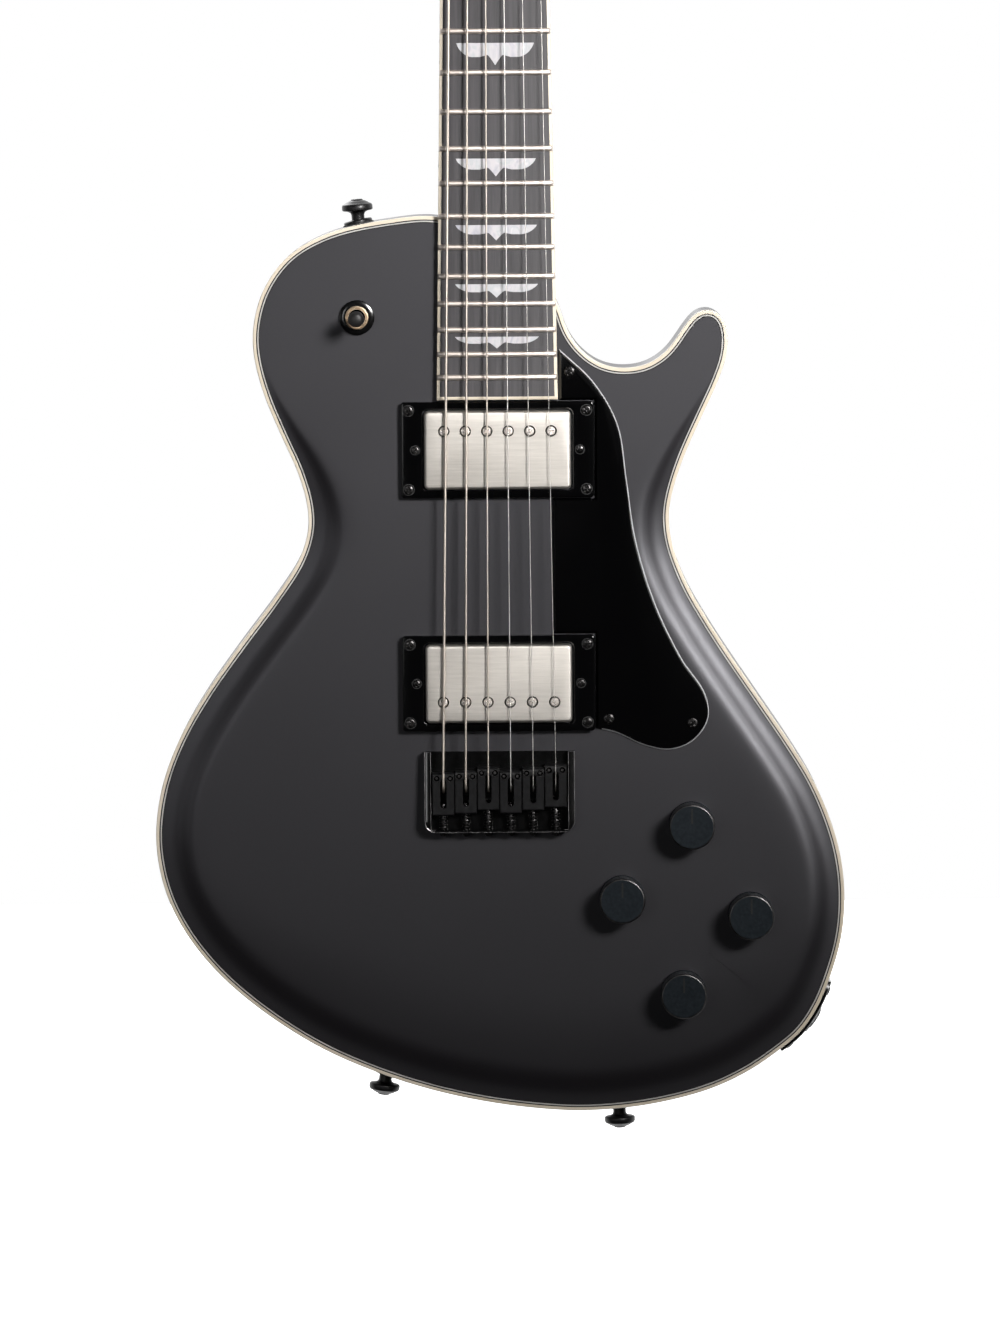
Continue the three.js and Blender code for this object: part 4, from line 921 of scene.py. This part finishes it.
def build_height_screws(name, x, front, crest):
    # a thin ring of this lighter steel round the mouth of each screw hole paints the highlight on the hole's rim
    collar = [(1.4, 0.05), (1.45, 0.2), (1.58, 0.2), (1.66, 0.0), (1.66, -0.4), (1.4, -0.4), (1.4, 0.05)]
    grub = Shape()
    for dx in (-HEIGHT_SCREW_X, HEIGHT_SCREW_X):
        grub.add(lathe(collar, 36), aim((x + dx, crest + 0.12, front - 2.4), FRONT))
        grub.add(head(1.3, 0.7, "hex", 0.1, 36, 14), aim((x + dx, -52.3, front - 2.4), FRONT, 0.3), mat=1)
        grub.add(lathe([(0, 0), (1.15, 0), (1.15, 7.0), (0, 7.4)], 20), aim((x + dx, -52.9, front - 2.2), BACK))
    grub.make("saddle_height_screws_" + name, [steel_and_rim_highlight, tray_black], body="saddle_" + name,
              slot="black_metal")

def build_spring(name, x, start, end):
    """The intonation spring, coiled from the tray's rear wall to the back of its saddle."""
    turns = round((end - start) / 1.35)
    a = np.linspace(0, turns * math.tau, turns * 22)
    coil = np.stack([x + 1.75 * np.cos(a), INTONATION_Y + 1.75 * np.sin(a), start + (end - start) * a / a[-1]], 1)
    spring = one(tube(coil, 0.3, 8), "intonation_spring_" + name, [steel_and_rim_highlight], body=None, slot="black_metal")
    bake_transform(spring)

def build_saddles():
    rods = Shape()
    rod = lathe([(0, 0), (1.05, 0), (1.1, 0.2), (1.1, 14), (0.7, 14.6), (0, 14.8)], 20)
    for i, name in enumerate(NAMES):
        x, front = string_x(i), SADDLE_FRONTS[i]
        rear = front - SADDLE_LENGTH
        crest = STRING_Y + RADII[i] + 0.05
        build_saddle_block(name, x, front, rear, crest)
        build_height_screws(name, x, front, crest)
        rods.add(rod, aim((x, INTONATION_Y, TRAY_REAR - 0.5), UP))
        rods.add(head(1.75, 1.1, "cross", 0.3, 36, 14), aim((x, INTONATION_Y, TRAY_REAR - 0.75), DOWN, 0.4 * i))
        build_spring(name, x, TRAY_REAR + 1.6, rear - 0.3)
    rods.make("intonation_screws", [screw_metal], slot="black_metal")

# ---------------------------------------------------------------- strings

def head_point(x, y, s):
    return np.array(HEAD @ Vector((x, y, s)))

def post_turns(side, px, s, r):
    """Two and a half turns round the waist of the post."""
    waist = 2.35 + r
    start, way = (0, 1) if side < 0 else (math.pi, -1)
    turns = []
    for q in np.linspace(0, 1, 60):
        a = start + way * (-0.25 + q * 2.5 * math.tau)
        turns.append(head_point(px + waist * math.cos(a), -8.2 + 2.4 * q * (1 + r), s + waist * math.sin(a)))
    return turns

def build_string(name, side, place):
    k = NAMES.index(name)
    r, x, front = RADII[k], string_x(k), SADDLE_FRONTS[k]
    nx, px = nut_x(k), side * ACROSS[place]
    rise = [(-30, HOLE_Z), (-43, HOLE_Z), (-47, HOLE_Z + 0.4), (-49.5, HOLE_Z + 1.1), (-52, HOLE_Z + 1.9),
            (-53.8, HOLE_Z + 2.7), (STRING_Y + 0.05, HOLE_Z + 3.6), (STRING_Y, HOLE_Z + 4.6)]
    pts = [(x, -4, HOLE_Z)] + [(x, y, z) for y, z in spline(rise, 26, False)]
    pts += [(x, STRING_Y, front - 2.0), (x, STRING_Y, front - 0.9), (x, STRING_Y + 0.03, front + 1.5)]
    saddle, nut = np.array([x, STRING_Y, front]), np.array([nx, -51.5, SCALE + 1])
    pts += [tuple(saddle + (nut - saddle) * t) for t in np.linspace(0.01, 1, 14)]
    pts += [(nx, -51.42, SCALE + 2.2), (nx + (px - nx) * 0.01, -51.0, SCALE + 4.2)]
    turns = post_turns(side, px, ALONG[place], r)
    last = np.array(pts[-1])
    pts += [tuple(last + (turns[0] - last) * t) for t in (0.25, 0.5, 0.75, 0.93)]
    pts += [tuple(t) for t in turns]
    is_wound = k < 3
    one(tube(pts, r, 16), "string_wire_" + name, [wound if is_wound else steel], replaces=["string_" + name],
        slot="string_wound" if is_wound else "steel", sharp=60)

def build_ferrules():
    """A ferrule in the back for each string, with the string's ball end in it."""
    ferrules = Shape()
    cup = [(1.7, -6), (1.7, 0.3), (2.0, 0.65), (3.6, 0.65), (4.2, 0.3), (4.2, 0.0), (3.8, -6), (1.7, -6)]
    ball = [(0, -3.2), (1.5, -3.0), (1.65, -2), (1.5, -1.0), (0, -0.8)]
    for k in range(6):
        ferrules.add(lathe(cup, 36), aim((string_x(k), -0.02, HOLE_Z), BACK))
        ferrules.add(lathe(ball, 24), aim((string_x(k), -0.5, HOLE_Z), BACK))
    ferrules.make("string_ferrules", [nickel_and_edge_highlight], slot="black_metal")

# ---------------------------------------------------------------- controls

def knurled_side():
    side = [(0, 1.9), (7.4, 1.9), (7.6, 0.0), (10.2, 0.0), (10.55, 0.35), (10.6, 1.6), (10.35, 1.9),
            (10.35, 14.4), (10.6, 14.7), (10.7, 15.1), (10.7, 15.5)]
    v, f = lathe(side, 180)
    rad = np.hypot(v[:, 0], v[:, 1])
    a = np.arctan2(v[:, 1], v[:, 0])
    band = (v[:, 2] > 1.8) & (v[:, 2] < 14.5) & (rad > 9)
    v[band, :2] *= (1 + 0.012 * np.sign(np.cos(60 * a[band])))[:, None]
    return v, f

def build_knob(number, x, z):
    """A knurled knob with a plain pointer line in place of any mark, and its shaft."""
    name = "knob_%d" % number
    at = aim((x, KNOB_Y, z), FRONT)
    knob = Shape().add(knurled_side(), at)
    # the chamfer round the top is a lighter steel than the knob: a painted highlight on the rim
    knob.add(lathe([(10.7, 15.4), (10.6, 15.75), (10.3, 16.02), (9.95, 16.1)], 180), at, mat=1)
    top = [(r, 16.1 - 0.03 * math.cos(r * 3)) for r in np.linspace(9.95, 0.001, 14)] + [(0, 16.07)]
    knob.add(lathe(top, 180), at)
    mark = rounded_rect(0, 5.2, 0.45, 3.6, 0.4)
    knob.add(skin([lift(mark, h) for h in (15.6, 16.14)]), at, mat=2)
    knob.add(lathe([(0, -14), (3, -14), (3, 2), (0, 2)], 24), at, mat=3)
    knob.make("control_" + name, [slate, steel_and_rim_highlight, line_black, steel], body=name, replaces=[name],
              slot="knob_metal", sharp=35)

def build_switch():
    x, z = SWITCH
    washer = [(5.6, 0.0), (8.0, 0.0), (8.2, 0.25), (8.2, 0.9), (7.9, 1.15), (5.8, 1.2), (5.6, 0.0)]
    one(lathe(washer, 60), "switch_washer", [tray_black], matrix=aim((x, TOP - 0.25, z), FRONT),
        slot="gloss_black")
    count, teeth = 96, 40
    a = np.linspace(0, math.tau, count, endpoint=False)
    q = 5.6 - 0.1 * (np.cos(teeth * a) > 0)
    toothed = np.stack([q * np.cos(a), q * np.sin(a)], 1)
    steps = ((5.35, 3.6), (5.1, 3.65), (4.8, 3.1), (4.5, 3.1), (4.2, 3.6), (3.95, 3.6), (3.85, 0.9))
    rings = [lift(toothed, 0.9), lift(toothed, 3.0)] + [lift(round_line(r, count), h) for r, h in steps]
    one(skin(rings, loop=True), "switch_dress_nut", [gold], matrix=aim((x, TOP, z), FRONT),
        replaces=["switch_body"], slot="steel", sharp=35)
    stem = [(0, 9), (2.4, 8), (2.6, 6.5), (1.6, 4.6), (1.55, -10.6), (1.9, -11), (0, -11)]
    tip = [(0, 10.6), (2.5, 10.7), (2.75, 11.2), (3.2, 13.5), (3.6, 17), (3.72, 19.5), (3.6, 21.2),
           (3.1, 22.4), (2.0, 23.0), (0, 23.1)]
    lever = Shape().add(lathe(stem, 28), aim((x, -45, z), BACK), mat=1)
    lever.add(lathe(tip, 40), aim((x, -44.8, z), FRONT))
    lever.make("switch_toggle", [satin, steel_and_rim_highlight], body="switch_lever", replaces=["switch_lever"],
               slot="gloss_black")

# ---------------------------------------------------------------- jack, strap buttons, back covers

def edge_near(x, z):
    """The number of the body's edge point nearest to a place."""
    return int(np.argmin(np.hypot(edge[:, 0] - x, edge[:, 1] - z)))

def build_jack_plate(centre, step):
    """A plate that follows the curve of the side."""
    half_count, half_height = int(round(19.5 / step)), 16.0
    along = [(centre + k) % EDGE_POINTS for k in range(-half_count, half_count + 1, 2)]
    rings = []
    for j, k in enumerate(along):
        p, nn = edge[k], outward[k]
        u = (j / (len(along) - 1) - 0.5) * 2
        corner = 3.0 * max(0, (abs(u) - 0.85) / 0.15)
        h = half_height - corner * 0.6 * max(0, (abs(u) - 0.85) / 0.15)
        a, b, c = p + nn * 0.15, p + nn * 1.5, p + nn * 1.85
        rings.append(np.array([(a[0], JACK_Y - h, a[1]), (b[0], JACK_Y - h, b[1]),
                               (c[0], JACK_Y - h + 0.5, c[1]), (c[0], JACK_Y + h - 0.5, c[1]),
                               (b[0], JACK_Y + h, b[1]), (a[0], JACK_Y + h, a[1])]))
    one(skin(rings), "curved_jack_plate", [tray_black], replaces=["jack_plate"], slot="black_metal", sharp=35)

def build_jack_socket(centre):
    """A washer, a hexagonal nut and the socket's bore."""
    p, nn = edge[centre], outward[centre]
    out, at = (nn[0], 0, nn[1]), (p[0], JACK_Y, p[1])
    jack = Shape().add(lathe([(3.25, 1.0), (7.9, 1.0), (8.0, 2.2), (3.25, 2.2), (3.25, 1.0)], 48), aim(at, out))
    corners = np.array([(7.6 * math.cos(q), 7.6 * math.sin(q)) for q in np.linspace(0, math.tau, 6, endpoint=False)])
    hexagon = np.vstack([np.linspace(corners[q], corners[(q + 1) % 6], 9)[:-1] for q in range(6)])
    angle = np.arctan2(hexagon[:, 1], hexagon[:, 0])
    hole = lambda r: np.stack([r * np.cos(angle), r * np.sin(angle)], 1)
    bore = ((4.6, 3.6), (4.6, 4.1), (3.6, 4.2), (3.25, 3.9), (3.25, -18), (5, -18), (5, 2.2))
    rings = [lift(hexagon, 2.2), lift(hexagon, 3.2), lift(hexagon * 0.93, 3.55)]
    rings += [lift(hole(r), h) for r, h in bore]
    jack.add(skin(rings, loop=True), aim(at, out, 0.2))
    jack.make("jack_socket_nut", [black_metal], replaces=["jack_socket"], slot="nickel", sharp=30)

def build_jack():
    centre = edge_near(*JACK_AT)
    step = np.linalg.norm(np.diff(edge, axis=0), axis=1).mean()
    build_jack_plate(centre, step)
    build_jack_socket(centre)
    screws = Shape()
    for dy in (-12, 12):
        for k in (-int(15.5 / step), int(15.5 / step)):
            p, nn = edge[(centre + k) % EDGE_POINTS], outward[(centre + k) % EDGE_POINTS]
            place = (p[0] + nn[0] * 1.8, JACK_Y + dy, p[1] + nn[1] * 1.8)
            screws.add(head(2.2, 0.9, "cross", 0.4, 36, 14), aim(place, (nn[0], 0, nn[1]), 0.5 + dy))
    screws.make("jack_plate_screws", [screw_metal], slot="black_metal")

def build_strap_button(name, x, z):
    """A foot square to the side, a button leaning up or down, its screw and a felt washer."""
    i = edge_near(x, z)
    p, nn = edge[i], outward[i]
    base, square = (p[0], STRAP_Y, p[1]), (nn[0], 0, nn[1])
    lean = Vector((nn[0] * 0.35, 0, math.copysign(1, nn[1])))
    foot = [(0, -1.5), (6.4, -1.5), (6.7, 0.6), (6.7, 1.5), (6.2, 1.9), (4.4, 2.1), (3.0, 2.3), (0, 2.3)]
    button = [(0, -3), (3.0, -3), (3.0, 2.3), (3.05, 4.4), (3.5, 5.4), (4.8, 6.05), (6.6, 6.3), (7.1, 6.6),
              (7.25, 7.1), (7.2, 8.5), (6.85, 9.2), (6.2, 9.6), (5.9, 9.65), (5.0, 10.3), (3.7, 10.9),
              (3.0, 11.1), (2.6, 11.6), (2.2, 11.7), (2.1, 11.0), (0, 11.0)]
    washer = [(2.6, -0.35), (7.3, -0.35), (7.4, 0.2), (6.9, 0.45), (2.6, 0.45), (2.6, -0.35)]
    shape = Shape().add(lathe(foot, 56), aim(base, square))
    shape.add(lathe(button, 56), aim(base, lean))
    shape.add(head(2.1, 0.8, "cross", 0.3, 36, 14), aim(base, lean) @ Matrix.Translation((0, 0, 11.0)), mat=1)
    shape.add(lathe(washer, 48), aim(base, square), mat=2)
    shape.make(name + "_turned", [black_metal, nickel_and_edge_highlight, felt], replaces=[name], slot="black_metal", sharp=30)

def build_back_covers():
    for word, line in (("control", cavity), ("switch", round_cover)):
        one(slab(line, -2.1, -0.25, 0.5), word + "_back_cover", [gloss_black], replaces=[word + "_cover"],
            slot="gloss_black", sharp=50)
    screws = Shape()
    # the cavity's outline runs clockwise, so its inset is negative
    for line, points in ((inset(cavity, -4), (0, 18, 40, 60, 76)), (inset(round_cover, 4), (6, 30, 54))):
        for q in points:
            p = line[q]
            screws.add(head(2.3, 0.8, "cross", 0.4, 36, 14), aim((p[0], -0.25, p[1]), BACK, q * 0.7))
    screws.make("back_cover_screws", [screw_metal], slot="black_metal")

def dress_inner_parts():
    """The CAD nodes that show inside keep their shape and get their materials."""
    for name, finish in (("control_board", circuit), ("truss_rod", steel)):
        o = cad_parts[name]
        o.data.materials.clear()
        o.data.materials.append(finish)

# ---------------------------------------------------------------- headstock hardware

def build_truss_cover():
    knots = [(8.5, 4), (9.2, 15), (6, 27), (2, 37), (0, 39), (-2, 37), (-6, 27), (-9.2, 15), (-8.5, 4), (0, 3)]
    one(slab(spline(knots, 90, True), 0.0, -2.2, 0.5), "truss_cover", [gloss_black], matrix=HEAD,
        replaces=["truss_rod_cover"], slot="gloss_black", sharp=45)
    screws = Shape()
    for x, s in ((-5.6, 8), (5.6, 8), (0, 33)):
        screws.add(head(1.7, 0.7, "cross", 0.3, 36, 14), HEAD @ aim((x, -2.2, s), FRONT, x))
    screws.make("truss_cover_screws", [screw_metal], slot="black_metal")

def build_tuner_housing(name, side, x, s):
    """The gearbox on the back, the bushing on the front and the worm's collar."""
    case = rounded_rect(x, s - 2.25, 9, 10.25, 3.2, 6)
    bushing = [(3.4, -1.0), (5.0, -1.0), (5.0, 0.02), (6.7, 0.05), (6.9, 0.5), (6.4, 1.3), (4.6, 1.7),
               (3.6, 1.5), (3.4, 1.0), (3.4, -1.0)]
    collar = [(2.0, 0), (3.6, 0.0), (3.6, 1.4), (3.0, 2.2), (2.0, 2.2), (2.0, 0)]
    shape = Shape().add(slab(case, HEAD_THICK + 0.05, HEAD_THICK + 9.6, 1.6, 6), HEAD)
    shape.add(lathe(bushing, 48), HEAD @ aim((x, 0, s), FRONT))
    shape.add(lathe(collar, 32), HEAD @ aim((x + side * 8.8, WORM_Y, s - WORM_DROP), (side, 0, 0)))
    for ds in (-10, 5.5):
        place = (x - side * 5.5, HEAD_THICK + 9.6, s + ds)
        shape.add(head(1.3, 0.6, "cross", 0.3, 30, 12), HEAD @ aim(place, BACK, ds), mat=1)
    shape.make("tuner_gearbox_" + name, [black_metal, nickel_and_edge_highlight], replaces=["tuner_housing_" + name],
               slot="black_metal", sharp=35)

def build_tuner_post(name, x, s):
    line = [(0, -20), (2.9, -20), (2.9, 5.4), (2.35, 6.2), (2.3, 10.8), (2.9, 11.8), (3.0, 14.2),
            (2.7, 14.9), (1.4, 15.1), (1.1, 14.5), (0, 14.5)]
    one(lathe(line, 40), "tuner_post_turned_" + name, [nickel], matrix=HEAD @ aim((x, 0, s), FRONT),
        body="tuner_post_" + name, replaces=["tuner_post_" + name], slot="nickel", sharp=35)

def build_tuner_key(name, side, x, s, st, across):
    """The worm's shaft and the button on its end."""
    z = s - WORM_DROP
    shaft = [(0, -14), (1.85, -14), (1.85, st - across - 0.6), (2.6, st - across), (2.9, st - across + 1.2),
             (0, st - across + 1.6)]
    shape = Shape().add(lathe(shaft, 28), HEAD @ aim((x, WORM_Y, z), (side, 0, 0)))
    line = []
    for a in np.linspace(0, math.tau, 64, endpoint=False):
        wide = 7.5 * math.copysign(abs(math.cos(a)) ** 0.8, math.cos(a))
        high = 9.5 * math.copysign(abs(math.sin(a)) ** 0.85, math.sin(a))
        line.append((side * (st + 7.4) + wide, z + high))
    rings = [flat(inset(np.array(line), 2.6 * (1 - math.sin(a))), WORM_Y + 3.3 * math.cos(a))
             for a in np.linspace(0.12, math.pi - 0.12, 13)]
    shape.add(skin(rings), HEAD)
    shape.make("tuner_key_" + name, [black_metal], body="tuner_button_" + name,
               replaces=["tuner_button_" + name], slot="black_metal", sharp=45)

def build_tuner(name, side, place):
    x, s = side * ACROSS[place], ALONG[place]
    build_tuner_housing(name, side, x, s)
    build_tuner_post(name, x, s)
    build_tuner_key(name, side, x, s, BUTTON_START[place], ACROSS[place])

# ---------------------------------------------------------------- camera, floor, light

def build_camera():
    data = bpy.data.cameras.new("camera")
    cam = bpy.data.objects.new("camera", data)
    bpy.context.scene.collection.objects.link(cam)
    bpy.context.scene.camera = cam
    data.sensor_fit = "VERTICAL"
    data.sensor_height = 36
    data.sensor_width = 36
    data.lens = 6800 / 1320 * 36
    cam.location = (0.00056, -3.230, 0.33285)
    tilt = Matrix.Rotation(math.radians(90 - 5.1), 3, "X")
    cam.rotation_euler = (tilt @ Matrix.Rotation(math.radians(-0.35), 3, "Z")).to_euler()
    data.clip_end = 100

def build_floor():
    """A plain white floor that gives no light, reflection or shadow to the guitar."""
    mat = bpy.data.materials.new("pale_floor")
    mat.use_nodes = True
    b = shader_of(mat)
    b.inputs["Base Color"].default_value = (1, 1, 1, 1)
    b.inputs["Emission Color"].default_value = (1, 1, 1, 1)
    b.inputs["Emission Strength"].default_value = 1.0
    mesh = bpy.data.meshes.new("floor")
    mesh.from_pydata([(-9, -9, -1.2), (9, -9, -1.2), (9, 9, -1.2), (-9, 9, -1.2)], [], [(0, 1, 2, 3)])
    mesh.materials.append(mat)
    floor = bpy.data.objects.new("floor", mesh)
    bpy.context.scene.collection.objects.link(floor)
    floor.visible_diffuse = floor.visible_glossy = floor.visible_shadow = False

def build_world():
    """The camera sees plain white, and the guitar is lit by a gradient that is brighter behind it."""
    world = bpy.data.worlds.new("studio")
    bpy.context.scene.world = world
    world.use_nodes = True
    t = world.node_tree
    background = t.nodes["Background"]
    background.inputs["Color"].default_value = (1, 1, 1, 1)
    coord = t.nodes.new("ShaderNodeTexCoord")
    split = t.nodes.new("ShaderNodeSeparateXYZ")
    gradient = t.nodes.new("ShaderNodeMapRange")
    gradient.inputs["From Min"].default_value, gradient.inputs["From Max"].default_value = -0.1, 0.35
    gradient.inputs["To Min"].default_value, gradient.inputs["To Max"].default_value = 0.012, 1.3
    path = t.nodes.new("ShaderNodeLightPath")
    mix = t.nodes.new("ShaderNodeMix")
    t.links.new(coord.outputs["Generated"], split.inputs["Vector"])
    t.links.new(split.outputs["Y"], gradient.inputs["Value"])
    t.links.new(path.outputs["Is Camera Ray"], mix.inputs["Factor"])
    t.links.new(gradient.outputs["Result"], mix.inputs["A"])
    mix.inputs["B"].default_value = 1.0
    t.links.new(mix.outputs["Result"], background.inputs["Strength"])

def area(name, at, target, size, power, colour=(1, 1, 1), spread=180):
    lamp = bpy.data.lights.new(name, "AREA")
    lamp.shape, lamp.size, lamp.size_y = "RECTANGLE", size[0], size[1]
    lamp.energy, lamp.color = power, colour
    lamp.spread = math.radians(spread)
    o = bpy.data.objects.new(name, lamp)
    bpy.context.scene.collection.objects.link(o)
    o.location = at
    o.rotation_euler = (Vector(target) - Vector(at)).to_track_quat("-Z", "Y").to_euler()

# ---------------------------------------------------------------- everything in order

build_body()
build_binding()
build_purfling()
build_neck()
build_board()
build_board_binding()
build_frets()
build_inlays()
build_side_dots()
build_nut()
build_pickup("neck", 147.7, -48.0, -51.5, 156.6, 10.05)
build_pickup("bridge", 37.9, -49.4, -52.3, 29.3, 10.45)
build_pickguard()
build_tray()
build_saddles()
for name, side, place in TUNERS:
    build_string(name, side, place)
build_ferrules()
for i, (x, z) in enumerate(KNOBS):
    build_knob(i + 1, x, z)
build_switch()
build_jack()
for name, x, z in STRAPS:
    build_strap_button(name, x, z)
build_back_covers()
dress_inner_parts()
build_truss_cover()
for name, side, place in TUNERS:
    build_tuner(name, side, place)

build_camera()
build_floor()
build_world()
area("key", (0.9, -1.7, 0.85), (0.05, -0.04, 0.3), (0.55, 0.55), 2.95, (1, 0.985, 0.97), 31)
area("left_rim", (-1.9, -1.7, 0.3), (-0.1, -0.04, 0.0), (0.5, 0.9), 0.18, (1, 1, 1), 50)
area("fill", (-1.0, -2.9, 0.36), (-0.1, 0, 0.1), (0.4, 0.8), 0.5, (1, 1, 1), 60)
area("back_light", (-0.8, 2.0, 1.5), (0, 0, 0.25), (1.2, 1.2), 16)

bpy.context.scene.view_settings.view_transform = "Standard"
bpy.context.scene.view_settings.look = "None"
